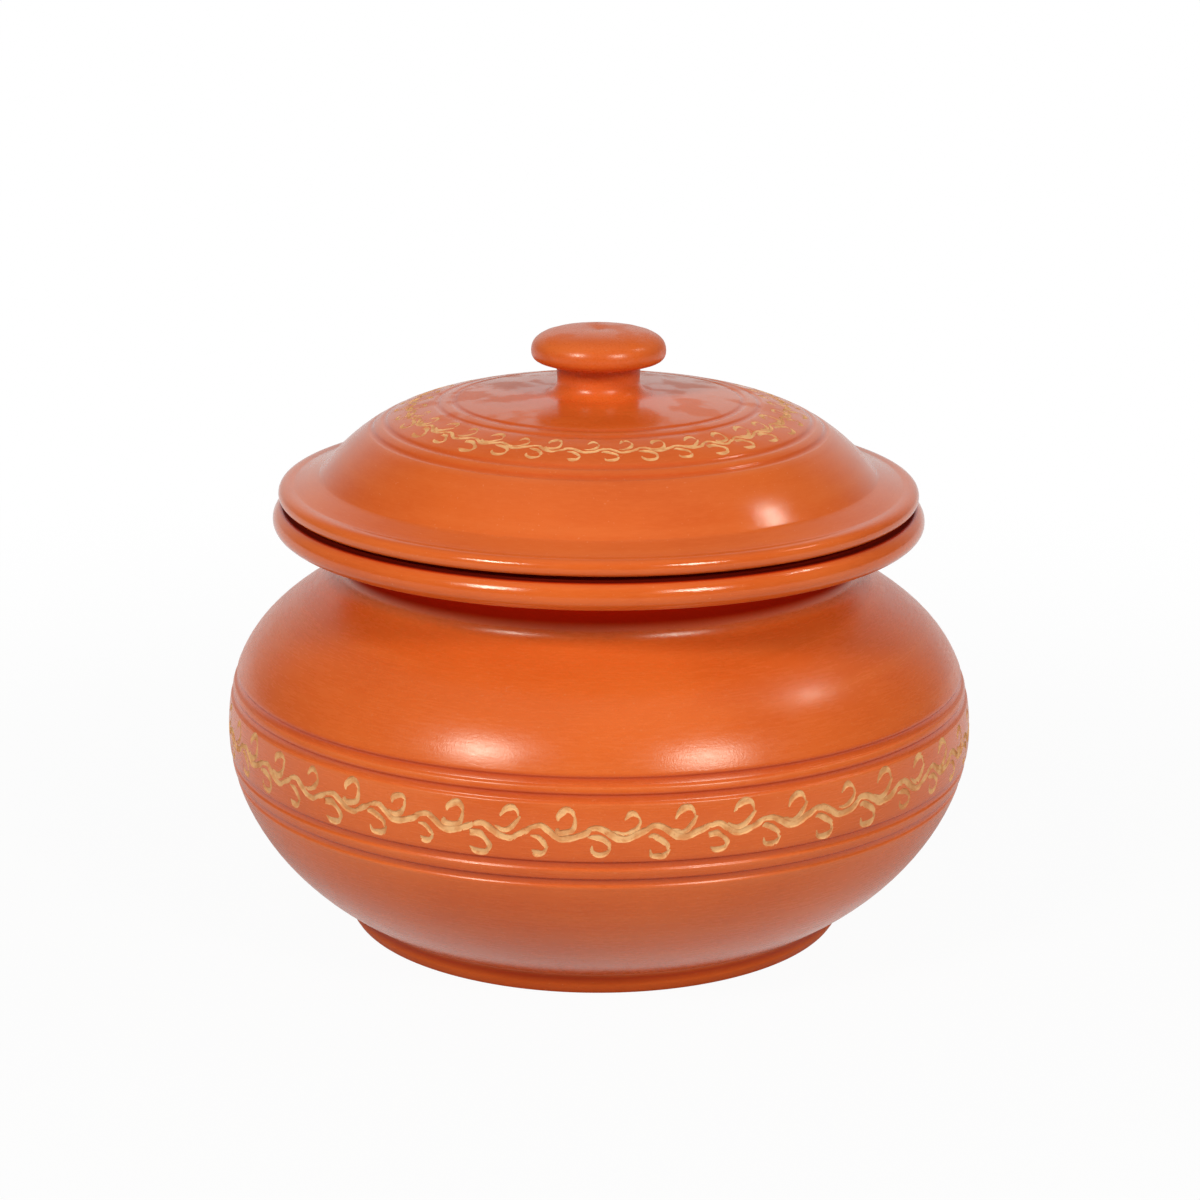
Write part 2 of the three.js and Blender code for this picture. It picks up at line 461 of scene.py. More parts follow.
class Graph:
    """A node tree that is written as calls and expressions."""

    def __init__(self, tree: bpy.types.NodeTree) -> None:
        """Keeps the tree and empties it."""
        self.tree = tree
        tree.nodes.clear()

    def add(
        self, kind: str, settings: Mapping[str, Any], inputs: Mapping[Union[str, int], Term]
    ) -> bpy.types.Node:
        """Adds a node.

        Args:
            kind: The node's type.
            settings: Its properties, which are set first.
            inputs: What goes into its sockets, by identifier, name or place.

        Returns:
            The node.
        """
        node = self.tree.nodes.new(kind)
        for name, value in settings.items():
            setattr(node, name, value)
        for key, term in inputs.items():
            self._feed(self._socket(node, key), term)
        return node

    def wire(
        self,
        kind: str,
        settings: Mapping[str, Any],
        inputs: Mapping[Union[str, int], Term],
        output: Union[str, int] = 0,
    ) -> Wire:
        """Adds a node and gives one of its outputs, by name or place, as a wire."""
        return Wire(self, self.add(kind, settings, inputs).outputs[output])

    def vector(self, x: Term, y: Term, z: Term) -> Wire:
        """A vector from its three parts."""
        return self.wire("ShaderNodeCombineXYZ", {}, {0: x, 1: y, 2: z})

    def mix(self, share: Term, first: Term, second: Term) -> Wire:
        """A mix of two colours."""
        inputs = {"Factor_Float": share, "A_Color": first, "B_Color": second}
        return self.wire("ShaderNodeMix", {"data_type": "RGBA"}, inputs, 2)

    def noise(self, place: Wire, scale: float, detail: float = 2.0, **more: Term) -> Wire:
        """The value of a noise texture.

        Args:
            place: Where it is read.
            scale: How fast it changes.
            detail: How many finer layers it has.
            more: Other inputs by name; a W makes it four-dimensional.

        Returns:
            A value of about 0 to 1.
        """
        settings = {"noise_dimensions": "4D" if "W" in more else "3D"}
        inputs = {"Vector": place, "Scale": scale, "Detail": detail, **more}
        return self.wire("ShaderNodeTexNoise", settings, inputs)

    @staticmethod
    def _socket(node: bpy.types.Node, key: Union[str, int]) -> bpy.types.NodeSocket:
        """One of a node's inputs.

        Args:
            node: The node.
            key: The input's place, identifier or name.

        Returns:
            The input.
        """
        if isinstance(key, int):
            return node.inputs[key]
        for socket in node.inputs:
            if socket.identifier == key:
                return socket
        return node.inputs[key]

    def _feed(self, socket: bpy.types.NodeSocket, term: Term) -> None:
        """Links a wire to a socket, or sets the socket's own value.

        Args:
            socket: The socket.
            term: The wire or the value. One number fills every part of a vector.
        """
        if isinstance(term, Wire):
            self.tree.links.new(term.socket, socket)
            return
        current = getattr(socket, "default_value", None)
        if isinstance(term, (int, float)) and hasattr(current, "__len__"):
            term = (term,) * len(current)
        socket.default_value = term


class InputKind(Enum):
    """The kinds of named input that a Geometry Nodes tree can ask for."""

    NUMBER = "NodeSocketFloat"
    COUNT = "NodeSocketInt"
    OBJECT = "NodeSocketObject"
    MATERIAL = "NodeSocketMaterial"
    COLLECTION = "NodeSocketCollection"


class ShapeTree(Graph):
    """A Geometry Nodes tree with named inputs, which turns one mesh into another."""

    def __init__(self, name: str) -> None:
        """Makes an empty tree with a geometry input and a geometry output.

        Args:
            name: The tree's name.
        """
        tree = bpy.data.node_groups.new(name, "GeometryNodeTree")
        super().__init__(tree)
        for side in ("INPUT", "OUTPUT"):
            tree.interface.new_socket("Geometry", in_out=side, socket_type="NodeSocketGeometry")
        self.entry = tree.nodes.new("NodeGroupInput")
        self.exit = tree.nodes.new("NodeGroupOutput")
        self.asked: dict[str, str] = {}

    @property
    def geometry(self) -> Wire:
        """The mesh that the tree starts from."""
        return Wire(self, self.entry.outputs[0])

    def ask(self, name: str, kind: InputKind) -> Wire:
        """Declares a named input.

        Args:
            name: The input's name.
            kind: Its kind.

        Returns:
            Its value inside the tree.
        """
        item = self.tree.interface.new_socket(name, in_out="INPUT", socket_type=kind.value)
        self.asked[name] = item.identifier
        return Wire(self, next(s for s in self.entry.outputs if s.identifier == item.identifier))

    def realized(self, mesh: Wire) -> Wire:
        """A mesh with its instances made real."""
        return self.wire("GeometryNodeRealizeInstances", {}, {"Geometry": mesh})

    def coated(self, mesh: Wire, material: Wire) -> Wire:
        """A mesh with a material."""
        return self.wire("GeometryNodeSetMaterial", {}, {"Geometry": mesh, "Material": material})

    def moved(self, mesh: Wire, place: Wire) -> Wire:
        """A mesh with its points at other places."""
        return self.wire("GeometryNodeSetPosition", {}, {"Geometry": mesh, "Position": place})

    def give(self, result: Wire) -> None:
        """Ends the tree with its result."""
        self.tree.links.new(result.socket, self.exit.inputs[0])

    def make(self, start: bpy.types.Object, values: Mapping[str, Any]) -> bpy.types.Mesh:
        """Runs the tree on an object.

        Args:
            start: The object whose mesh the tree starts from.
            values: The value of each named input.

        Returns:
            The result as a plain mesh.
        """
        modifier = start.modifiers.new(self.tree.name, "NODES")
        modifier.node_group = self.tree
        for name, value in values.items():
            modifier[self.asked[name]] = value
        start.update_tag()
        bpy.context.view_layer.update()
        depsgraph = bpy.context.evaluated_depsgraph_get()
        mesh = bpy.data.meshes.new_from_object(start.evaluated_get(depsgraph), depsgraph=depsgraph)
        start.modifiers.remove(modifier)
        return mesh


def put(name: str, data: bpy.types.ID) -> bpy.types.Object:
    """Puts something in the scene.

    Args:
        name: The object's name.
        data: Its mesh, lamp or camera.

    Returns:
        The object.
    """
    thing = bpy.data.objects.new(name, data)
    bpy.context.scene.collection.objects.link(thing)
    return thing


def line_mesh(name: str, points: np.ndarray, drift: np.ndarray) -> bpy.types.Mesh:
    """A section's line as a mesh in metres.

    Args:
        name: The mesh's name.
        points: The line's (radius, height) points, in millimetres.
        drift: How far off the axis each of them lies.

    Returns:
        A mesh of joined vertices, which hold (radius, drift, height).
    """
    mesh = bpy.data.meshes.new(name)
    places = np.stack([points[:, 0], drift, points[:, 1]], 1) * MM
    mesh.from_pydata(places.tolist(), [(i, i + 1) for i in range(len(places) - 1)], [])
    return mesh


@dataclass(frozen=True)
class Rows:
    """The rows of one turned piece, in millimetres."""

    points: np.ndarray
    matt: np.ndarray
    shade: np.ndarray
    drift: np.ndarray
    throw: np.ndarray
    lap: np.ndarray

    def mesh(self, name: str) -> bpy.types.Mesh:
        """The section as a line of vertices, in metres.

        Args:
            name: The mesh's name.

        Returns:
            A mesh whose vertices hold (radius, drift, height), with what else a row knows.
        """
        mesh = line_mesh(name, self.points, self.drift)
        along = unit(np.gradient(self.points, axis=0))
        out = np.stack([along[:, 1], np.zeros(len(along)), -along[:, 0]], 1)
        out[[0, -1], 0] = 0.0
        looks = {"matt": self.matt, "shade": self.shade, "throw": self.throw * MM, "lap": self.lap}
        for key, values in looks.items():
            numbers = mesh.attributes.new(key, "FLOAT", "POINT")
            numbers.data.foreach_set("value", values.astype(np.float32))
        vectors = mesh.attributes.new("out", "FLOAT_VECTOR", "POINT")
        vectors.data.foreach_set("vector", out.astype(np.float32).ravel())
        return mesh


class Wheel:
    """Turns a section into a closed surface of revolution, as Geometry Nodes."""

    MERGE = 2e-6
    WAVINESS = 14.0

    def __init__(self) -> None:
        """Builds the tree."""
        tree = ShapeTree("wheel")
        rows = tree.ask("Rows", InputKind.COUNT)
        steps = tree.ask("Steps round", InputKind.COUNT)
        wobble = tree.ask("Wobble", InputKind.NUMBER)
        material = tree.ask("Finish", InputKind.MATERIAL)
        grid_sizes = {"Size X": 1.0, "Size Y": 1.0, "Vertices X": rows, "Vertices Y": steps + 1}
        grid = tree.wire("GeometryNodeMeshGrid", {}, grid_sizes)
        place = tree.wire("GeometryNodeInputPosition", {}, {})
        across, around, _ = place.parts()
        row = ((across + 0.5) * (rows - 1)).math("ROUND")
        step = ((around + 0.5) * steps).math("ROUND").math("MODULO", steps)
        angle = step / steps * math.tau
        radius, drift, height = self._of_row(tree, "FLOAT_VECTOR", place, row).parts()
        out = self._of_row(tree, "FLOAT_VECTOR", "out", row)
        throw, lap = (self._of_row(tree, "FLOAT", name, row) for name in ("throw", "lap"))
        around_x, around_y = angle.math("COSINE"), angle.math("SINE")
        even = tree.vector(radius * around_x, radius * around_y, height)
        waves = tree.noise(even, self.WAVINESS, 1.0) * wobble
        ridge = ((lap * math.tau - angle).math("SINE") - 1) * throw
        push = ridge - waves
        rise, _, climb = out.parts()
        far = radius + rise * push
        for look in ("matt", "shade"):
            grid = tree.wire(
                "GeometryNodeStoreNamedAttribute",
                {"data_type": "FLOAT", "domain": "POINT"},
                {"Geometry": grid, "Name": look, "Value": self._of_row(tree, "FLOAT", look, row)},
            )
        place = tree.vector(far * around_x + drift, far * around_y, height + climb * push)
        seams = {"Geometry": tree.moved(grid, place), "Distance": self.MERGE}
        closed = tree.wire("GeometryNodeMergeByDistance", {}, seams)
        tree.give(tree.coated(tree.realized(closed), material))
        self.tree = tree

    @staticmethod
    def _of_row(tree: ShapeTree, kind: str, value: Union[Wire, str], row: Wire) -> Wire:
        """What the section holds at a row.

        Args:
            tree: The tree.
            kind: The kind of value.
            value: A field on the section, or an attribute's name.
            row: The row's number.

        Returns:
            The value at that row.
        """
        if isinstance(value, str):
            named = "GeometryNodeInputNamedAttribute"
            value = tree.wire(named, {"data_type": kind}, {"Name": value})
        return tree.wire(
            "GeometryNodeSampleIndex",
            {"data_type": kind, "domain": "POINT"},
            {"Geometry": tree.geometry, "Value": value, "Index": row},
        )

    def turn(
        self, name: str, rows: Rows, steps: int, wobble: float, finish: bpy.types.Material
    ) -> bpy.types.Mesh:
        """Turns one piece.

        Args:
            name: The piece's name.
            rows: Its section.
            steps: How many facets go round.
            wobble: How far hand and wheel leave it off true, in millimetres.
            finish: The material of its surface.

        Returns:
            The closed mesh, with its faces pointing out.
        """
        start = put(name + "_section", rows.mesh(name + "_section"))
        values = {"Rows": len(rows.points), "Steps round": steps, "Wobble": wobble * MM}
        turned = self.tree.make(start, {**values, "Finish": finish})
        bpy.data.objects.remove(start)
        return turned


@dataclass(frozen=True)
class Stroke:
    """One cut of the gouge: (along, up, width) points in millimetres, joined by a smooth path."""

    STEPS = 24
    FEWEST = 4

    points: Sequence[tuple[float, float, float]]

    def path(self, gap: float) -> np.ndarray:
        """Points along the path, each with its width.

        Args:
            gap: About how far apart they are.

        Returns:
            The (along, up, width) of each.
        """
        knots = np.array(self.points, float)
        padded = np.concatenate([2 * knots[:1] - knots[1:2], knots, 2 * knots[-1:] - knots[-2:-1]])
        dense = []
        t = np.linspace(0, 1, self.STEPS, endpoint=False)[:, None]
        for a, b, c, d in zip(padded[:-3], padded[1:-2], padded[2:-1], padded[3:]):
            square, cube = (2 * a - 5 * b + 4 * c - d) * t**2, (3 * b - a - 3 * c + d) * t**3
            dense.append(0.5 * (2 * b + (c - a) * t + square + cube))
        line = np.concatenate([*dense, knots[-1:]])
        lengths = np.concatenate([[0], np.cumsum(spans(line[:, :2]))])
        even = np.linspace(0, lengths[-1], max(self.FEWEST, round(lengths[-1] / gap)))
        return np.stack([np.interp(even, lengths, line[:, k]) for k in range(3)], 1)


@dataclass(frozen=True)
class Gouge:
    """The tool that cuts the vine: the section of its cut, and how closely a cut is followed."""

    FLOOR = ((-0.62, 0.8), (-0.25, 0.72), (0.12, 1.0), (0.62, 0.85))

    depth_share: float = 0.23
    splay: float = 1.35
    lift: float = 0.6
    gap: float = 0.5
    least: float = 0.16

    def cutter(self, name: str, strokes: Sequence[Stroke]) -> bpy.types.Mesh:
        """The closed shapes that some strokes cut away, flat, cutting down along -z.

        Args:
            name: The mesh's name.
            strokes: The strokes.

        Returns:
            A mesh in metres with one closed island for each stroke.
        """
        vertices: list[np.ndarray] = []
        faces: list[Sequence[int]] = []
        for stroke in strokes:
            path = stroke.path(self.gap)
            along = unit(np.gradient(path[:, :2], axis=0))
            side = np.stack([-along[:, 1], along[:, 0]], 1)
            first = sum(map(len, vertices))
            rings = []
            for (u, v, width), (sx, sy) in zip(path, side):
                half = max(width, self.least) / 2
                depth = 2 * half * self.depth_share
                floor = [(share * half, -deep * depth) for share, deep in self.FLOOR]
                profile = [
                    (-self.splay * half, self.lift),
                    (-half, 0.0),
                    *floor,
                    (half, 0.0),
                    (self.splay * half, self.lift),
                ]
                rings.append([(u + sx * x, v + sy * x, z) for x, z in profile])
            vertices.append(np.array(rings).reshape(-1, 3))
            size = len(self.FLOOR) + 4
            for i in range(len(rings) - 1):
                for k in range(size):
                    a, b = first + i * size + k, first + i * size + (k + 1) % size
                    faces.append((a, b, b + size, a + size))
            faces.append(tuple(first + k for k in reversed(range(size))))
            last = first + (len(rings) - 1) * size
            faces.append(tuple(last + k for k in range(size)))
        mesh = bpy.data.meshes.new(name)
        mesh.from_pydata((np.concatenate(vertices) * MM).tolist(), [], faces)
        mesh.validate()
        return mesh


class VineCarver:
    """Cuts a scroll vine round a band of a turned piece, as Geometry Nodes."""

    FAMILIES = ("Stems", "Upper hooks", "Lower hooks")
    NUMBERS = (
        "Middle", "Radius", "Size", "Hooks", "Slide across", "Slide up", "Turn", "Growth",
        "Ragged", "Sink", "Start",
    )
    OFFSETS = (0.0, 0.0, 0.5)
    FREEDOMS = (0.4, 1.0, 1.0)
    HIGHEST_PICK = 99
    SEED_STEP = 10
    WANDER_SCALE = 700.0
    WANDER_SEED = 7.3

    def __init__(self) -> None:
        """Builds the tree."""
        tree = ShapeTree("vine_carver")
        band = tree.ask("Band", InputKind.OBJECT)
        collections = [tree.ask(family, InputKind.COLLECTION) for family in self.FAMILIES]
        repeats = tree.ask("Repeats", InputKind.COUNT)
        numbers = {name: tree.ask(name, InputKind.NUMBER) for name in self.NUMBERS}
        slide = tree.vector(numbers["Slide across"], numbers["Slide up"], 0.0)
        seed = tree.ask("Seed", InputKind.COUNT)
        material = tree.ask("Cut clay", InputKind.MATERIAL)
        index = tree.wire("GeometryNodeInputIndex", {}, {})
        around = numbers["Radius"] * math.tau
        along = (index / repeats + numbers["Start"]) * around
        joined = tree.add("GeometryNodeJoinGeometry", {}, {})
        for number, (family, offset, freedom) in enumerate(
            zip(collections, self.OFFSETS, self.FREEDOMS)
        ):
            own = self.SEED_STEP * number
            jitter = self._random(tree, "FLOAT_VECTOR", seed + own)
            shift = tree.vector(along + offset * around / repeats, 0.0, 0.0)
            place = jitter * slide * (freedom, freedom, freedom) + shift
            points = tree.wire("GeometryNodePoints", {}, {"Count": repeats, "Position": place})
            source = {"Collection": family, "Separate Children": True, "Reset Children": True}
            chosen = tree.wire("GeometryNodeCollectionInfo", {}, source)
            among = {"Min_002": 0, "Max_002": self.HIGHEST_PICK, "Seed": seed + own + 1}
            pick = tree.wire("FunctionNodeRandomValue", {"data_type": "INT"}, among, 2)
            swing = self._random(tree, "FLOAT", seed + own + 2) * numbers["Turn"] * freedom
            scale = self._random(tree, "FLOAT", seed + own + 3) * numbers["Growth"] * freedom
            scale = (1 + scale) * numbers["Size"]
            if number:
                scale = scale * numbers["Hooks"]
            placed = tree.wire(
                "GeometryNodeInstanceOnPoints",
                {},
                {
                    "Points": points,
                    "Instance": chosen,
                    "Pick Instance": True,
                    "Instance Index": pick,
                    "Rotation": tree.vector(0.0, 0.0, swing),
                    "Scale": tree.vector(scale, scale, numbers["Size"]),
                },
            )
            tree.tree.links.new(placed.socket, joined.inputs[0])
        strokes = Wire(tree, joined.outputs[0])
        flat = tree.realized(strokes)
        wrapped = self._wrap(tree, flat, band, seed, numbers)
        island = tree.wire("GeometryNodeInputMeshIsland", {}, {})
        cutters = {"Geometry": tree.coated(wrapped, material), "Group ID": island}
        apart = tree.wire("GeometryNodeSplitToInstances", {"domain": "POINT"}, cutters)
        carved = tree.wire(
            "GeometryNodeMeshBoolean",
            {"operation": "DIFFERENCE", "solver": "MANIFOLD"},
            {"Mesh 1": tree.geometry, "Mesh 2": apart},
        )
        tree.give(tree.realized(carved))
        self.tree = tree

    @staticmethod
    def _random(tree: ShapeTree, kind: str, seed: Wire) -> Wire:
        """A random number, or two in the flat, from -1 to 1.

        Args:
            tree: The tree.
            kind: FLOAT or FLOAT_VECTOR.
            seed: The seed.

        Returns:
            The number, or the vector.
        """
        if kind == "FLOAT":
            inputs, output = {"Seed": seed, "Min_001": -1.0, "Max_001": 1.0}, 1
        else:
            inputs, output = {"Seed": seed, "Min": (-1, -1, 0), "Max": (1, 1, 0)}, 0
        return tree.wire("FunctionNodeRandomValue", {"data_type": kind}, inputs, output)

    def _wrap(
        self, tree: ShapeTree, flat: Wire, band: Wire, seed: Wire, numbers: Mapping[str, Wire]
    ) -> Wire:
        """Lays the flat cutters on the turned surface, with ragged edges.

        Args:
            tree: The tree.
            flat: The flat cutters: x runs round the piece, y up its section, z out of it.
            band: The object that holds the section's line, as (radius, drift, height).
            seed: The seed of the gouge's wandering.
            numbers: Among others the Middle, the length along that line where y is 0, the Radius
                that x is measured at, how far the gouge wanders, and the Sink of the cutters.

        Returns:
            The cutters in place.
        """
        place = tree.wire("GeometryNodeInputPosition", {}, {})
        noise = {"W": seed * self.WANDER_SEED, "Scale": self.WANDER_SCALE, "Detail": 1.0}
        noise["Vector"] = place
        wander = tree.wire("ShaderNodeTexNoise", {"noise_dimensions": "4D"}, noise, 1)
        centred = wander.math("SUBTRACT", (0.5, 0.5, 0.5))
        ragged = numbers["Ragged"]
        x, y, flat_z = (place + centred * tree.vector(ragged, ragged, 0.0)).parts()
        z = flat_z - numbers["Sink"]
        edge = tree.wire("GeometryNodeObjectInfo", {}, {"Object": band}, "Geometry")
        line = tree.wire("GeometryNodeMeshToCurve", {}, {"Mesh": edge})
        sample = tree.add(
            "GeometryNodeSampleCurve",
            {"mode": "LENGTH", "use_all_curves": True},
            {"Curves": line, "Length": numbers["Middle"] + y},
        )
        here, drift, height = Wire(tree, sample.outputs["Position"]).parts()
        rise, _, climb = Wire(tree, sample.outputs["Tangent"]).parts()
        out = here + climb * z
        up = height - rise * z
        angle = x / numbers["Radius"]
        across, away = out * angle.math("COSINE") + drift, out * angle.math("SINE")
        return tree.moved(flat, tree.vector(across, away, up))


Colour = tuple[float, float, float, float]
Edge = tuple[float, float]


def srgb(red: int, green: int, blue: int) -> Colour:
    """A colour as the linear numbers that a shader takes.

    Args:
        red: Its red, 0 to 255.
        green: Its green.
        blue: Its blue.

    Returns:
        The linear colour.
    """
    parts = [value / 255 for value in (red, green, blue)]
    linear = [p / 12.92 if p <= 0.04045 else ((p + 0.055) / 1.055) ** 2.4 for p in parts]
    return (*linear, 1.0)


WHITE: Colour = (1.0, 1.0, 1.0, 1.0)


def weighted(weights: Sequence[float], *parts: Wire) -> Wire:
    """A weighted sum.

    Args:
        weights: The weights.
        parts: The wires that they weigh.

    Returns:
        The sum.
    """
    total = parts[0] * weights[0]
    for part, weight in zip(parts[1:], weights[1:]):
        total = total + part * weight
    return total


class Shader(Graph):
    """The node tree of a material."""

    def __init__(self, name: str) -> None:
        """Makes an empty material.

        Args:
            name: The material's name.
        """
        self.material = bpy.data.materials.new(name)
        self.material.use_nodes = True
        super().__init__(self.material.node_tree)

    def place(self) -> Wire:
        """The point's own place in the object, in metres."""
        return self.wire("ShaderNodeTexCoord", {}, {}, "Object")

    def turned(self, place: Wire, around: float, across: float, detail: float) -> Wire:
        """Noise drawn out along the rings of a turned surface.

        Args:
            place: The point's place.
            around: How fast it changes round the axis, per radian.
            across: How fast it changes from ring to ring, per metre.
            detail: The detail of the noise.

        Returns:
            A value of about 0 to 1.
        """
        x, y, z = place.parts()
        radius = (x * x + y * y).math("SQRT").math("MAXIMUM", MM)
        spot = self.vector(x / radius * around, y / radius * around, z * across)
        return self.noise(spot, 1.0, detail, W=radius * across)

    def bump(self, height: Wire, distance: float, strength: float) -> Wire:
        """A bumped normal; the height's 0 to 1 is a distance in millimetres."""
        inputs = {"Height": height, "Distance": distance * MM, "Strength": strength}
        return self.wire("ShaderNodeBump", {}, inputs)

    def principled(self, **inputs: Term) -> Wire:
        """A Principled surface."""
        named = {name.replace("_", " "): term for name, term in inputs.items()}
        return self.wire("ShaderNodeBsdfPrincipled", {}, named)

    def end(self, surface: Wire) -> bpy.types.Material:
        """Ends the material with its surface."""
        self.add("ShaderNodeOutputMaterial", {}, {"Surface": surface})
        return self.material


@dataclass(frozen=True)
class BurnishedSlip:
    """Red slip polished on the wheel, which gives way to plain matt clay inside.

    Scales are per metre, and rates per radian round the axis. An edge is the pair of values
    between which a noise, or the matt of the piece, brings its look in. The crown heights bound
    the rise, in metres, over which handling has worn the polish off the top of the lid. Weights
    are those of streaks and strokes in the rubbing, of rubbing, grain, bands, fine grain and
    mottle in the relief, and of grain, bands and fine grain in that of the bare clay.
    """

    slip: Colour = srgb(230, 105, 38)
    deep: Colour = srgb(218, 93, 30)
    pale: Colour = srgb(237, 121, 56)
    # Pale for random specks, and for the channels' lips, partly wear and partly painted highlight.
    speck_and_lip_highlight: Colour = srgb(240, 150, 100)
    # Painted shade in hollows and grooves, and the painted shadow under the lid's edge.
    painted_shade: Colour = srgb(184, 34, 2)
    painted_shadow: Colour = srgb(84, 14, 4)
    clay: Colour = srgb(205, 104, 62)
    clay_dark: Colour = srgb(184, 84, 46)
    clay_pale: Colour = srgb(214, 122, 80)
    sheen: Colour = (1.0, 1.0, 0.88, 1.0)
    roughness: float = 0.265
    roughness_streaks: float = 0.26
    burnish: float = 0.25
    worn: float = 0.45
    mottle: float = 0.12
    clay_roughness: float = 0.85
    clay_gloss: float = 0.04
    refraction: float = 1.49
    cloud_scale: float = 16.0
    mottle_scale: float = 120.0
    band_scale: float = 160.0
    streak_scale: float = 1300.0
    stroke_scale: float = 1700.0
    grain_scale: float = 1400.0
    fine_scale: float = 2600.0
    speck_scale: float = 1500.0
    worn_scale: float = 90.0
    band_rate: float = 0.8
    streak_rate: float = 5.0
    stroke_rate: float = 26.0
    cloud_edge: Edge = (0.3, 0.7)
    band_edge: Edge = (0.45, 0.8)
    band_share: float = 0.4
    stroke_edge: Edge = (0.3, 0.75)
    stroke_share: float = 0.2
    scratch_edge: Edge = (0.66, 0.74)
    scratch_clouds: Edge = (0.45, 0.65)
    scratch_share: float = 0.25
    scratch_gloss: float = 0.06
    speck_edge: Edge = (0.78, 0.84)
    speck_share: float = 0.3
    lip_clouds: Edge = (0.3, 0.6)
    clay_edge: Edge = (0.3, 0.7)
    clay_band_share: float = 0.5
    clay_uneven: float = 0.1
    bare_edge: Edge = (0.6, 0.95)
    dull_edge: Edge = (0.0, 0.5)
    worn_edge: Edge = (0.48, 0.6)
    crown: Edge = (0.157, 0.163)
    rubbing: tuple[float, ...] = (0.4, 0.6)
    relief: tuple[float, ...] = (0.5, 0.5, 0.3, 0.4, 0.25)
    clay_relief: tuple[float, ...] = (0.5, 0.3, 0.2)

    def make(self) -> bpy.types.Material:
        """Builds the material.

        Returns:
            The material.
        """
        shader = Shader("burnished_slip")
        place = shader.place()
        finish = shader.wire("ShaderNodeAttribute", {"attribute_name": "matt"}, {}, "Fac")
        shade = shader.wire("ShaderNodeAttribute", {"attribute_name": "shade"}, {}, "Fac")
        cloud = shader.noise(place, self.cloud_scale, detail=3.0)
        mottle = shader.noise(place, self.mottle_scale, detail=3.0)
        bands = shader.turned(place, self.band_rate, self.band_scale, detail=3.0)
        streaks = shader.turned(place, self.streak_rate, self.streak_scale, detail=2.0)
        strokes = shader.turned(place, self.stroke_rate, self.stroke_scale, detail=2.0)
        grain = shader.noise(place, self.grain_scale, detail=3.0)
        fine = shader.noise(place, self.fine_scale, detail=1.0)
        specks = shader.noise(place, self.speck_scale, detail=0.0).ramp(*self.speck_edge)
        rubbed = weighted(self.rubbing, streaks, strokes)
        scratch = streaks.ramp(*self.scratch_edge) * cloud.ramp(*self.scratch_clouds)
        marks = strokes.ramp(*self.stroke_edge) * self.stroke_share + scratch * self.scratch_share
        tone = shader.mix(cloud.ramp(*self.cloud_edge), self.deep, self.slip)
        for share, colour in (
            (bands.ramp(*self.band_edge) * self.band_share, self.pale),
            (marks, self.pale),
            (specks * self.speck_share, self.speck_and_lip_highlight),
            # The shade attribute paints pale lips below 0, shade from 0 to 1 and the shadow under
            # the lid above 1.
            ((0 - shade) * cloud.ramp(*self.lip_clouds), self.speck_and_lip_highlight),
            (shade, self.painted_shade),
            (shade - 1, self.painted_shadow),
        ):
            tone = shader.mix(share, tone, colour)
        clay = shader.mix(grain.ramp(*self.clay_edge), self.clay_dark, self.clay)
        clay_bands = bands.ramp(*self.clay_edge) * self.clay_band_share
        clay = shader.mix(clay_bands, clay, self.clay_pale)
        colour = shader.mix(finish.ramp(*self.bare_edge), tone, clay)
        uneven = (rubbed - 0.5) * self.roughness_streaks + (mottle - 0.5) * self.mottle
        roughness = self.roughness + finish * self.burnish + uneven - scratch * self.scratch_gloss
        relief = weighted(self.relief, rubbed, grain, bands, fine, mottle)
        gloss = shader.principled(
            Base_Color=colour,
            Roughness=roughness,
            IOR=self.refraction,
            Specular_Tint=self.sheen,
            Normal=shader.bump(relief, distance=0.12, strength=0.42),
        )
        clay_relief = weighted(self.clay_relief, grain, bands, fine)
        dull = shader.principled(
            Base_Color=colour,
            Roughness=self.clay_roughness + (grain - 0.5) * self.clay_uneven,
            Specular_IOR_Level=self.clay_gloss,
            Normal=shader.bump(clay_relief, distance=0.15, strength=0.5),
        )
        crown = place.parts()[2].ramp(*self.crown)
        worn = shader.noise(place, self.worn_scale, detail=4.0).ramp(*self.worn_edge) * crown
        share = finish.ramp(*self.dull_edge).math("MAXIMUM", worn * self.worn)
        return shader.end(shader.wire("ShaderNodeMixShader", {}, {0: share, 1: gloss, 2: dull}))


@dataclass(frozen=True)
class CutClay:
    """Pale clay that a gouge has laid bare under the slip."""

    pale: Colour = srgb(242, 186, 127)
    deep: Colour = srgb(222, 152, 94)
    stain: Colour = srgb(205, 104, 52)
    roughness: float = 0.8
    uneven: float = 0.2
    gloss: float = 0.3
    cloud_scale: float = 300.0
    cloud_edge: Edge = (0.35, 0.6)
    grain_scale: float = 2600.0
    grain_relief: float = 0.6
    stain_scale: float = 700.0
    stain_edge: Edge = (0.6, 0.74)
    stain_share: float = 0.45

    def make(self) -> bpy.types.Material:
        """Builds the material.

        Returns:
            The material.
        """
        shader = Shader("cut_clay")
        place = shader.place()
        cloud = shader.noise(place, self.cloud_scale, detail=3.0)
        grain = shader.noise(place, self.grain_scale, detail=3.0)
        stain = shader.noise(place, self.stain_scale, detail=2.0).ramp(*self.stain_edge)
        tone = shader.mix(cloud.ramp(*self.cloud_edge), self.deep, self.pale)
        tone = shader.mix(stain * self.stain_share, tone, self.stain)
        surface = shader.principled(
            Base_Color=tone,
            Roughness=self.roughness + (grain - 0.5) * self.uneven,
            Specular_IOR_Level=self.gloss,
            Normal=shader.bump(grain * self.grain_relief + cloud, distance=0.14, strength=0.5),
        )
        return shader.end(surface)


Cuts = Sequence[Sequence[tuple[float, float, float]]]

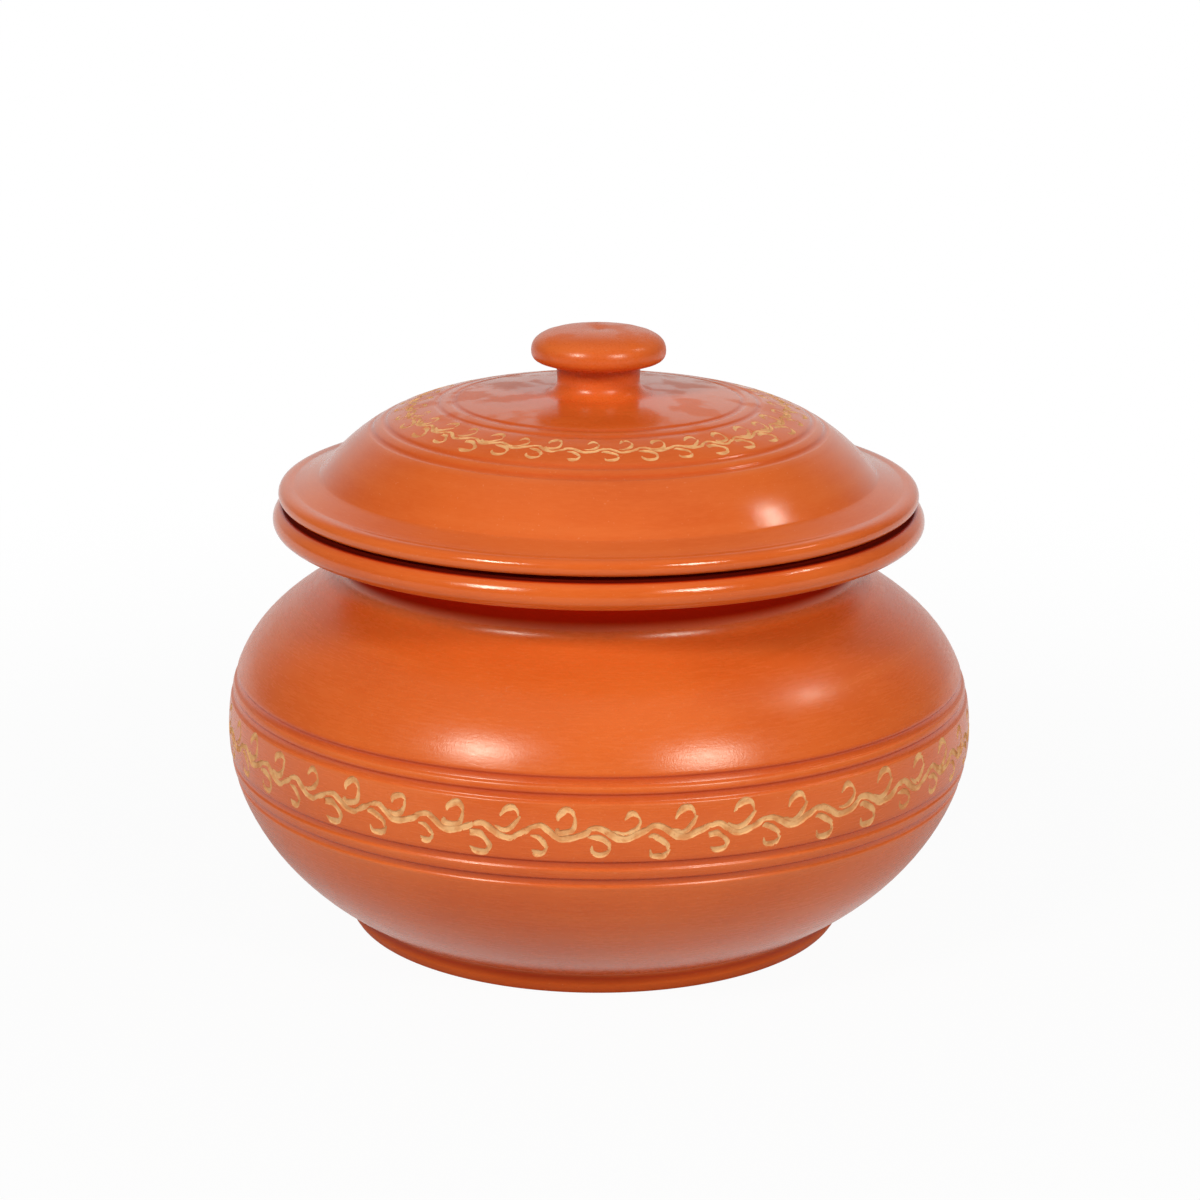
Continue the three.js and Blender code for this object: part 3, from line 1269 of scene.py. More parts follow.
# Bowl and head of each hook over a trough, as (along, up, width) points.
UPPER_HOOKS: Cuts = (
    ((-3.4, 1.5, 1.0), (-1.6, 0.3, 1.9), (0.9, 0.8, 1.8), (2.8, 2.7, 1.2), (3.2, 5.2, 0.7)),
    ((3.5, 4.6, 0.5), (2.6, 6.1, 1.4), (0.9, 6.5, 1.9), (-0.9, 5.7, 1.5), (-1.5, 4.0, 0.4)),
    (
        (-3.0, 2.2, 0.9), (-2.3, 0.9, 1.9), (-0.4, 0.3, 2.0), (1.8, 1.2, 1.7),
        (3.0, 3.2, 1.1), (3.0, 5.0, 0.7),
    ),
    ((3.2, 4.2, 0.5), (2.3, 6.3, 1.5), (0.2, 6.9, 2.0), (-1.7, 5.8, 1.5), (-2.3, 3.9, 0.4)),
    ((-2.2, 0.4, 0.5), (0.0, 0.2, 1.4), (2.0, 1.6, 1.5), (3.1, 3.6, 1.1), (3.3, 5.9, 0.6)),
    ((3.5, 5.1, 0.5), (2.2, 6.6, 1.6), (0.4, 6.4, 1.9), (-0.7, 4.6, 0.6)),
    ((-3.6, 1.2, 0.5), (-1.8, 0.3, 1.7), (0.7, 0.7, 1.7), (2.7, 2.4, 1.3), (3.4, 4.7, 0.7)),
    ((3.6, 4.0, 0.4), (3.0, 6.2, 1.2), (1.2, 7.2, 1.8), (-0.8, 6.8, 1.9), (-1.9, 5.0, 0.5)),
)
# Arm and foot of each hook under a crest.
LOWER_HOOKS: Cuts = (
    ((-2.4, -0.9, 0.7), (-0.4, -0.8, 1.7), (1.7, -1.7, 1.8), (3.3, -3.3, 1.3), (3.9, -4.9, 0.6)),
    ((4.1, -4.1, 0.4), (2.9, -5.9, 1.5), (0.9, -6.5, 1.8), (-0.9, -5.6, 1.3), (-1.4, -4.5, 0.3)),
    ((-1.8, -1.2, 1.5), (0.6, -1.1, 1.8), (2.6, -2.3, 1.7), (3.4, -4.4, 1.4), (3.3, -5.8, 0.9)),
    ((3.6, -5.0, 0.9), (2.3, -6.4, 1.7), (0.1, -6.2, 1.6), (-1.9, -5.2, 0.4)),
    ((-1.2, -0.9, 0.4), (1.0, -1.2, 1.6), (2.9, -2.9, 1.4), (3.4, -4.6, 0.6)),
    ((3.6, -3.9, 0.4), (2.6, -5.8, 1.5), (0.7, -6.2, 1.8), (-0.8, -5.0, 0.4)),
    ((-2.6, -0.4, 0.5), (-0.6, -0.7, 1.5), (1.5, -1.6, 1.7), (3.1, -3.2, 1.4), (3.7, -4.8, 0.6)),
    ((3.9, -4.1, 0.4), (2.6, -6.0, 1.6), (0.4, -6.4, 1.8), (-1.3, -5.2, 1.2), (-1.5, -3.9, 0.3)),
)


@dataclass(frozen=True)
class Vine:
    """A scroll vine: a waving stem with a hook over each trough and under each crest."""

    pitch: float = 16.75
    wave: float = 1.65
    variants: int = 4
    stray: float = 0.26
    width_stray: float = 0.14
    seed: int = 7
    gouge: Gouge = field(default_factory=Gouge)

    def collections(self) -> list[bpy.types.Collection]:
        """Cuts out the flat cutters, each family as a few variants.

        Returns:
            The cutters of stems, upper hooks and lower hooks.
        """
        rng = np.random.default_rng(self.seed)
        made = []
        families = (self._stems(), self._hooks(UPPER_HOOKS), self._hooks(LOWER_HOOKS))
        for family, plain in zip(VineCarver.FAMILIES, families):
            group = bpy.data.collections.new(family)
            bpy.context.scene.collection.children.link(group)
            for number in range(self.variants):
                strokes = [self._strayed(stroke, rng) for stroke in plain[number % len(plain)]]
                mesh = self.gouge.cutter(f"{family} {number}", strokes)
                group.objects.link(bpy.data.objects.new(mesh.name, mesh))
            made.append(group)
        return made

    def _strayed(self, stroke: Stroke, rng: np.random.Generator) -> Stroke:
        """A stroke as the hand repeats it, a little off.

        Args:
            stroke: The stroke.
            rng: The source of what is random.

        Returns:
            The strayed stroke.
        """
        points = []
        for u, v, width in stroke.points:
            u, v = u + rng.normal(0, self.stray), v + rng.normal(0, self.stray)
            points.append((u, v, width * (1 + rng.normal(0, self.width_stray))))
        return Stroke(points)

    def _stems(self) -> list[list[Stroke]]:
        """The stem over one crest and through one trough, once with a twig.

        Returns:
            The strokes of each variant.
        """
        shares = (-0.66, -0.56, -0.42, -0.28, -0.12, 0.04, 0.18, 0.3, 0.42, 0.5)
        widths = (0.6, 1.5, 1.9, 2.0, 1.9, 1.9, 1.9, 1.8, 1.3, 0.5)
        points = []
        for share, width in zip(shares, widths):
            points.append((share * self.pitch, -self.wave * math.cos(share * math.tau), width))
        main = Stroke(points)
        twig = Stroke([(-6.2, 1.2, 0.3), (-4.2, 0.9, 0.9), (-2.2, 0.1, 0.9), (-0.4, -0.6, 0.3)])
        return [[main], [main, twig], [main], [main]]

    @staticmethod
    def _hooks(strokes: Cuts) -> list[list[Stroke]]:
        """Hooks of two strokes each, from a table of strokes."""
        return [[Stroke(first), Stroke(last)] for first, last in zip(strokes[::2], strokes[1::2])]


@dataclass(frozen=True)
class VineBand:
    """How a vine is laid round one band of a turned piece."""

    repeats: int
    start: float
    radius: float
    size: float
    slide: tuple[float, float] = (0.55, 0.28)
    turn: float = 7.0
    growth: float = 0.09
    hooks: float = 1.0
    ragged: float = 0.5
    sink: float = 0.05
    seed: int = 1


@dataclass(frozen=True)
class Workshop:
    """The tools and finishes that the turned pieces share."""

    GUIDE_STEP = 0.5

    wheel: Wheel
    carver: VineCarver
    turning: Turning
    vine: Sequence[bpy.types.Collection]
    slip: bpy.types.Material
    cut: bpy.types.Material

    def make(
        self, name: str, rows: Rows, line: Stretch, drift: "Drift", middle: float, band: VineBand
    ) -> bpy.types.Object:
        """Turns a piece and cuts its vine.

        Args:
            name: The piece's name.
            rows: Its section.
            line: The stretch of the section that the vine lies on.
            drift: How far off the axis its rings lie.
            middle: The length along that stretch of the vine's middle.
            band: How the vine is laid.

        Returns:
            The finished piece.
        """
        body = self.wheel.turn(name, rows, self.turning.steps_round, self.turning.wobble, self.slip)
        body.name = name
        piece = put(name, body)
        points = line.point(np.arange(0, line.length, self.GUIDE_STEP))
        guide = put(name + "_band", line_mesh(name + "_band", points, drift(points[:, 1])))
        values = {
            "Band": guide,
            "Repeats": band.repeats,
            "Middle": middle * MM,
            "Radius": band.radius * MM,
            "Size": band.size,
            "Hooks": band.hooks,
            "Slide across": band.slide[0] * MM,
            "Slide up": band.slide[1] * MM,
            "Turn": math.radians(band.turn),
            "Growth": band.growth,
            "Ragged": band.ragged * MM,
            "Sink": band.sink * MM,
            "Start": band.start,
            "Seed": band.seed,
            "Cut clay": self.cut,
        }
        values.update(dict(zip(VineCarver.FAMILIES, self.vine)))
        carved = self.carver.tree.make(piece, values)
        carved.name = name
        piece.data = carved
        bpy.data.objects.remove(guide)
        return piece


@dataclass(frozen=True)
class Drift:
    """How far the hand-turned rings lie off the axis, at some heights."""

    heights: Sequence[float]
    offsets: Sequence[float]

    def __call__(self, height: np.ndarray) -> np.ndarray:
        """The drift at heights, in millimetres."""
        return np.interp(height, self.heights, self.offsets)


@dataclass(frozen=True)
class Pot:
    """The vessel: foot ring, belly with its carved band, neck and everted rim."""

    foot_radius: float = 76.2
    foot_height: float = 7.1
    foot_flare: float = 3.0
    foot_ring_width: float = 10.0
    foot_recess: float = 3.0
    foot_edge: float = 2.0
    foot_edge_slope: float = 40.0
    foot_side_slope: float = 85.0
    foot_crease_height: float = 4.7
    foot_crease_depth: float = 0.25
    belly_radius: float = 115.5
    belly_height: float = 61.5
    foot_slope: float = 29.0
    lower_reach: float = 24.0
    lower_fullness: float = 20.6
    upper_fullness: float = 29.5
    shoulder_reach: float = 18.0
    shoulder_slope: float = 33.0
    neck_radius: float = 80.0
    neck_height: float = 113.4
    neck_fillet: float = 5.0
    cove_rise: float = 8.0
    cove_reach: float = 9.0
    cove_slope: float = 5.0
    rim_radius: float = 100.1
    rim_height: float = 133.2
    rim_thickness: float = 10.3
    rim_bead: float = 6.4
    rim_top_bead: float = 2.5
    rim_top_fall: float = 1.35
    rim_top_slope: float = 25.0
    rim_seam_radius: float = 92.0
    rim_flat_radius: float = 84.0
    rim_widest_drop: float = 5.5
    rim_under_slope: float = 10.0
    rim_under_fullness: float = 4.6
    rim_side_fullness: float = 2.3
    rim_shoulder_fullness: float = 2.2
    rim_top_fullness: float = 1.2
    mouth_edge: float = 3.0
    wall: float = 6.5
    floor_thickness: float = 7.5
    floor_flat_radius: float = 46.0
    floor_bend: float = 16.0
    floor_bend_rise: float = 8.0
    floor_bend_end: float = 0.08
    lower_channels: tuple[float, float] = (48.7, 54.2)
    upper_channels: tuple[float, float] = (74.0, 78.6)
    channel_width: float = 2.4
    channel_depth: float = 0.7
    vine_height: float = 64.1
    vine: VineBand = VineBand(repeats=43, start=-86.1 / FULL_TURN, radius=115.4, size=1.0, seed=11)
    drift: Drift = Drift((0, 20, 60, 110, 135), (-1.0, -0.6, 0.0, -0.4, -0.6))
    # The shades paint shade on the foot, in the cove under the rim and on the rim's top under the
    # lid, where a painted shadow darkens its outer edge.
    foot_matt: float = 0.35
    foot_shade: float = 0.1
    hidden_matt: float = 0.5
    cove_shade: float = 1.0
    edge_matt: float = -0.5
    seam_shades: tuple[float, float] = (2.4, 0.6)
    belly_rows: float = 2.2
    belly_rows_from: float = 40.0
    rim_rows: float = 0.9
    rim_rows_from: float = 90.0
    plain_rows: float = 3.5

    def lower_belly(self) -> Stretch:
        """Outside of the belly below its widest place.

        Returns:
            The stretch, from the foot ring up.
        """
        start = at(self.foot_radius + self.foot_flare, self.foot_height)
        widest = at(self.belly_radius, self.belly_height)
        return Stretch.sweep(
            (start, self.foot_slope, self.lower_reach), (widest, UPWARDS, self.lower_fullness)
        )

    def neck_bend(self) -> Stretch:
        """The concave bend between the shoulder and the upright throat."""
        centre = at(self.neck_radius + self.neck_fillet, self.neck_height)
        return Stretch.arc(centre, self.neck_fillet, DOWNWARDS - self.shoulder_slope, INWARDS)

    def upper_belly(self) -> Stretch:
        """Outside of the belly above its widest place.

        Returns:
            The stretch, up to the neck's bend.
        """
        return Stretch.sweep(
            (at(self.belly_radius, self.belly_height), UPWARDS, self.upper_fullness),
            (self.neck_bend().points[0], INWARDS - self.shoulder_slope, self.shoulder_reach),
        )

    def foot(self) -> tuple[Stretch, Stretch]:
        """The foot ring.

        Returns:
            The underside with its recess, and the side of the ring.
        """
        inside = self.foot_radius - self.foot_ring_width
        top = at(self.foot_radius + self.foot_flare, self.foot_height)
        edge = Stretch.sweep(
            (at(self.foot_radius, 0), self.foot_edge_slope, self.foot_edge),
            (top, self.foot_side_slope, self.foot_edge),
        )
        under = Stretch.line(
            at(0, self.foot_recess),
            at(inside - self.foot_recess, self.foot_recess),
            at(inside, 0),
            at(self.foot_radius, 0),
        )
        return under, edge

    def rim(self) -> tuple[Stretch, Stretch, Stretch, Stretch]:
        """The rim, from the neck up and in to the mouth.

        Returns:
            The cove under it, its rounded edge, the seam that the lid hides, and the seat with
            the mouth's edge.
        """
        bottom = at(self.rim_radius - self.rim_bead, self.rim_height - self.rim_thickness)
        top = at(self.rim_radius - self.rim_top_bead, self.rim_height - self.rim_top_fall)
        widest = at(self.rim_radius, self.rim_height - self.rim_widest_drop)
        round_mouth = self.mouth_edge
        mouth = at(self.neck_radius - self.wall + round_mouth, self.rim_height - round_mouth)
        cove = Stretch.sweep(
            (at(self.neck_radius, self.neck_height), UPWARDS, self.cove_rise),
            (bottom, self.cove_slope, self.cove_reach),
        )
        lower = Stretch.sweep(
            (bottom, self.rim_under_slope, self.rim_under_fullness),
            (widest, UPWARDS, self.rim_side_fullness),
        )
        upper = Stretch.sweep(
            (widest, UPWARDS, self.rim_shoulder_fullness),
            (top, INWARDS - self.rim_top_slope, self.rim_top_fullness),
        )
        edge = Stretch.arc(mouth, round_mouth, UPWARDS, INWARDS)
        slope = Stretch.line(top, at(self.rim_flat_radius, self.rim_height))
        inner = slope.point(slope.where(0, self.rim_seam_radius))
        seam = Stretch.line(top, inner)
        seat = Stretch.line(inner, slope.points[-1], edge.points[0])
        return cove, Stretch.joined(lower, upper), seam, Stretch.joined(seat, edge)

    def inside(self) -> Stretch:
        """Inside, an even wall behind the outside.

        Returns:
            The stretch, from the throat down to the middle of the floor.
        """
        floor = self.foot_recess + self.floor_thickness
        lower = self.lower_belly()
        wall = lower.inset(self.wall, self.floor_bend_end)
        along = wall.points[1] - wall.points[0]
        slope = math.degrees(math.atan2(along[1], along[0]))
        flat = at(self.floor_flat_radius, floor)
        throat = self.neck_radius - self.wall
        parts = (
            Stretch.line(at(0, floor), flat),
            Stretch.sweep(
                (flat, OUTWARDS, self.floor_bend), (wall.points[0], slope, self.floor_bend_rise)
            ),
            wall,
            self.upper_belly().inset(self.wall),
            self.neck_bend().inset(self.wall),
            Stretch.line(
                at(throat, self.neck_height), at(throat, self.rim_height - self.mouth_edge)
            ),
        )
        return Stretch(np.concatenate([part.points for part in parts])[::-1])

    def section(self) -> Section:
        """The whole section, with its channels turned in.

        Returns:
            The section.
        """
        cove, bead, seam, seat = self.rim()
        under, side = self.foot()
        # A painted shadow under the lid's edge fades inward to painted shade; the foot, its crease,
        # the channels and the cove carry painted shade too.
        fading = np.linspace(*self.seam_shades, len(seam.points))
        return Section(
            (
                Skin(under, BARE),
                self._turned(
                    Skin(side, self.foot_matt, self.foot_shade),
                    [self.foot_crease_height],
                    self.foot_crease_depth,
                ),
                self._turned(Skin(self.lower_belly()), self.lower_channels, self.channel_depth),
                self._turned(Skin(self.upper_belly()), self.upper_channels, self.channel_depth),
                Skin(self.neck_bend()),
                Skin(cove, self.hidden_matt, self.cove_shade),
                Skin(bead, self.edge_matt),
                Skin(seam, self.hidden_matt, fading),
                Skin(seat, self.hidden_matt, self.seam_shades[1]),
                Skin(self.inside(), BARE),
            )
        )

    def _turned(self, skin: Skin, heights: Sequence[float], depth: float) -> Skin:
        """A skin with channels turned into it.

        Args:
            skin: The skin.
            heights: The height of each channel.
            depth: How deep they are.

        Returns:
            The cut skin.
        """
        line, width = skin.line, self.channel_width
        return skin.channelled([Channel(line.where(1, height), width, depth) for height in heights])

    def spacing(self, points: np.ndarray) -> np.ndarray:
        """How far apart rows may lie: closer on the belly's outside and round the rim.

        Args:
            points: Points of the section.

        Returns:
            The largest gap at each.
        """
        radius, height = points.T
        outside = (radius > self.belly_radius - self.wall) & (height > self.belly_rows_from)
        rim = (radius > self.rim_rows_from) & (height > self.rim_height - self.rim_thickness)
        gaps = np.where(rim, self.rim_rows, self.plain_rows)
        return np.where(outside, self.belly_rows, gaps)

    def build(self, workshop: Workshop) -> bpy.types.Object:
        """Turns and carves the pot.

        Args:
            workshop: The tools and finishes.

        Returns:
            The pot.
        """
        lower, upper = self.lower_belly(), self.upper_belly()
        line = Stretch.joined(lower, upper)
        middle = lower.length + upper.where(1, self.vine_height)
        rows = workshop.turning.rows(self.section(), self.spacing, self.drift)
        return workshop.make("carved_pot", rows, line, self.drift, middle, self.vine)


@dataclass(frozen=True)
class Lid:
    """The lid: brim, dome with its carved band, locating flange and mushroom knob."""

    seat: float = 133.5
    flange_outside: float = 71.5
    flange_width: float = 5.5
    flange_depth: float = 9.0
    flange_edge: float = 1.6
    brim_radius: float = 98.2
    brim_edge: float = 2.2
    brim_thickness: float = 4.8
    brim_bead: float = 4.8
    brim_side_fullness: float = 2.5
    brim_top_fullness: float = 2.6
    brim_shoulder_slope: float = -8.0
    brim_droop: float = 0.15
    dome_radius: float = 85.6
    dome_foot_height: float = 7.6
    dome_height: float = 32.1
    dome_foot_slope: float = 49.3
    dome_fullness: float = 26.2
    crown_reach: float = 36.4
    crown_slope: float = 2.0
    wall: float = 6.5
    hollow_start: float = 13.0
    shelf_height: float = 6.5
    shelf_bevel: float = 1.5
    shelf_fillet: float = 3.0
    channel_radii: tuple[float, ...] = (69.5, 65.5, 49.3, 44.3)
    channel_width: float = 1.6
    channel_depth: float = 0.36
    knob_height: float = 20.0
    knob_neck_radius: float = 12.6
    knob_neck_taper: float = 0.3
    knob_neck_flare: float = 4.2
    knob_radius: float = 20.6
    knob_cap_thickness: float = 11.0
    knob_widest_drop: float = 6.8
    knob_under_reach: float = 6.0
    knob_under_slope: float = 5.0
    knob_side_fullness: float = 2.9
    knob_top_fullness: float = 14.0
    knob_shoulder_fullness: float = 3.4
    knob_dimple_radius: float = 4.0
    knob_dimple_depth: float = 0.6
    vine_radius: float = 57.6
    vine: VineBand = VineBand(
        repeats=34, start=-92.8 / FULL_TURN, radius=57.6, size=0.65, slide=(0.3, 0.2), hooks=1.25,
        ragged=0.3, sink=-0.05, seed=23,
    )
    drift: Drift = Drift((0, 12, 40, 52), (-0.6, -0.6, -0.9, -0.9))
    channel_lip: float = 0.4
    # The channels take painted shade at half the belly's weight.
    channel_groove_shading: float = 0.5
    edge_matt: float = -0.5
    dome_matt: float = -0.35
    knob_matt: float = 0.08
    band_rows: float = 2.4
    band_rows_between: tuple[float, float] = (50.0, 66.0)
    band_rows_above: float = 17.0
    plain_rows: float = 3.5

    def dome(self) -> Stretch:
        """Outside of the dome.

        Returns:
            The stretch, from the brim up to the crown round the knob.
        """
        foot = at(self.dome_radius, self.dome_foot_height)
        crown = at(self.knob_neck_radius + self.knob_neck_flare, self.dome_height)
        return Stretch.sweep(
            (foot, INWARDS - self.dome_foot_slope, self.dome_fullness),
            (crown, INWARDS - self.crown_slope, self.crown_reach),
        )

    def underside(self) -> Stretch:
        """The underside.

        Returns:
            The stretch: the hollow, the shelf inside the brim, the flange and the seat.
        """
        dome = self.dome()
        start = dome.where(1, self.hollow_start) / dome.length
        hollow = Stretch(dome.inset(self.wall, start).points[::-1])
        outside, edge, fillet = self.flange_outside, self.flange_edge, self.shelf_fillet
        inside, bottom = outside - self.flange_width, edge - self.flange_depth
        centre = at(inside + fillet, self.shelf_height - fillet)
        shelf = Stretch.arc(centre, fillet, UPWARDS, INWARDS)
        inner = Stretch.arc(at(inside + edge, bottom), edge, INWARDS, DOWNWARDS)
        outer = Stretch.arc(at(outside - edge, bottom), edge, DOWNWARDS, FULL_TURN)
        rim = hollow.points[-1]
        corner = at(rim[0] - self.shelf_bevel, self.shelf_height)
        return Stretch.joined(
            Stretch.line(at(0, hollow.points[0][1]), hollow.points[0]),
            hollow,
            Stretch.line(rim, corner, shelf.points[0]),
            shelf,
            Stretch.line(shelf.points[-1], inner.points[0]),
            inner,
            Stretch.line(inner.points[-1], outer.points[0]),
            outer,
            Stretch.line(
                outer.points[-1],
                at(outside, 0),
                at(self.brim_radius - self.brim_bead, 0),
                at(self.brim_radius - self.brim_edge, -self.brim_droop),
            ),
        )

    def brim(self) -> Stretch:
        """The brim.

        Returns:
            The stretch: its rounded edge and its top, in to the foot of the dome.
        """
        bottom = self.brim_edge - self.brim_droop
        centre = at(self.brim_radius - self.brim_edge, bottom)
        lower = Stretch.arc(centre, self.brim_edge, DOWNWARDS, FULL_TURN)
        shoulder = at(self.brim_radius - self.brim_bead, self.brim_thickness)
        upper = Stretch.sweep(
            (at(self.brim_radius, bottom), UPWARDS, self.brim_side_fullness),
            (shoulder, INWARDS - self.brim_shoulder_slope, self.brim_top_fullness),
        )
        top = Stretch.line(upper.points[-1], at(self.dome_radius, self.dome_foot_height))
        return Stretch.joined(lower, upper, top)

    def knob(self) -> Stretch:
        """The knob.

        Returns:
            The stretch: its flared neck, the crease under its cap, and the cap with its dimple.
        """
        flare_radius = self.knob_neck_flare
        centre = at(self.knob_neck_radius + flare_radius, self.dome_height + flare_radius)
        flare = Stretch.arc(centre, flare_radius, DOWNWARDS, INWARDS)
        top = self.dome_height + self.knob_height
        crease = at(self.knob_neck_radius + self.knob_neck_taper, top - self.knob_cap_thickness)
        widest = at(self.knob_radius, top - self.knob_widest_drop)
        under = Stretch.sweep(
            (crease, self.knob_under_slope, self.knob_under_reach),
            (widest, UPWARDS, self.knob_side_fullness),
        )
        cap = Stretch.sweep(
            (widest, UPWARDS, self.knob_shoulder_fullness),
            (at(self.knob_dimple_radius, top), INWARDS, self.knob_top_fullness),
        )
        neck = Stretch.line(flare.points[-1], crease)
        dimple = Stretch.line(cap.points[-1], at(0, top - self.knob_dimple_depth))
        return Stretch.joined(flare, neck, under, cap, dimple)

    def section(self) -> Section:
        """The whole section.

        Returns:
            The section, lifted to where the lid sits.
        """
        dome = self.dome()
        tool = (self.channel_width, self.channel_depth, self.channel_lip, self.channel_groove_shading)
        channels = [Channel(dome.where(0, radius), *tool) for radius in self.channel_radii]
        skins = (
            Skin(self.underside(), BARE),
            Skin(self.brim(), self.edge_matt),
            Skin(dome, self.dome_matt).channelled(channels),
            Skin(self.knob(), self.knob_matt),
        )
        return Section([skin.lifted(self.seat) for skin in skins])

    def spacing(self, points: np.ndarray) -> np.ndarray:
        """How far apart rows may lie: closer on the carved band.

        Args:
            points: Points of the section.

        Returns:
            The largest gap at each.
        """
        (radius, height), (inner, outer) = points.T, self.band_rows_between
        outside = (radius > inner) & (radius < outer) & (height > self.seat + self.band_rows_above)
        return np.where(outside, self.band_rows, self.plain_rows)

    def build(self, workshop: Workshop) -> bpy.types.Object:
        """Turns and carves the lid.

        Args:
            workshop: The tools and finishes.

        Returns:
            The lid.
        """
        dome = Stretch(self.dome().points + at(0, self.seat))
        shifted = Drift([height + self.seat for height in self.drift.heights], self.drift.offsets)
        rows = workshop.turning.rows(self.section(), self.spacing, shifted)
        middle = dome.where(0, self.vine_radius)
        return workshop.make("carved_lid", rows, dome, shifted, middle, self.vine)


@dataclass(frozen=True)
class Softbox:
    """A large soft lamp that points at the pot."""

    name: str
    azimuth: float
    elevation: float
    distance: float
    width: float
    height: float
    power: float
    tint: tuple[float, float, float] = (1.0, 0.985, 0.95)

    def build(self, target: Vector) -> None:
        """Hangs the lamp.

        Args:
            target: What it points at.
        """
        lamp = bpy.data.lights.new(self.name, "AREA")
        lamp.shape = "RECTANGLE"
        lamp.size, lamp.size_y = self.width, self.height
        lamp.energy = self.power
        lamp.color = self.tint
        azimuth, elevation = math.radians(self.azimuth), math.radians(self.elevation)
        level = math.cos(elevation)
        back = Vector((math.sin(azimuth) * level, -math.cos(azimuth) * level, math.sin(elevation)))
        holder = put(self.name, lamp)
        holder.location = target + back * self.distance
        holder.rotation_mode = "QUATERNION"
        holder.rotation_quaternion = (-back).to_track_quat("-Z", "Y")


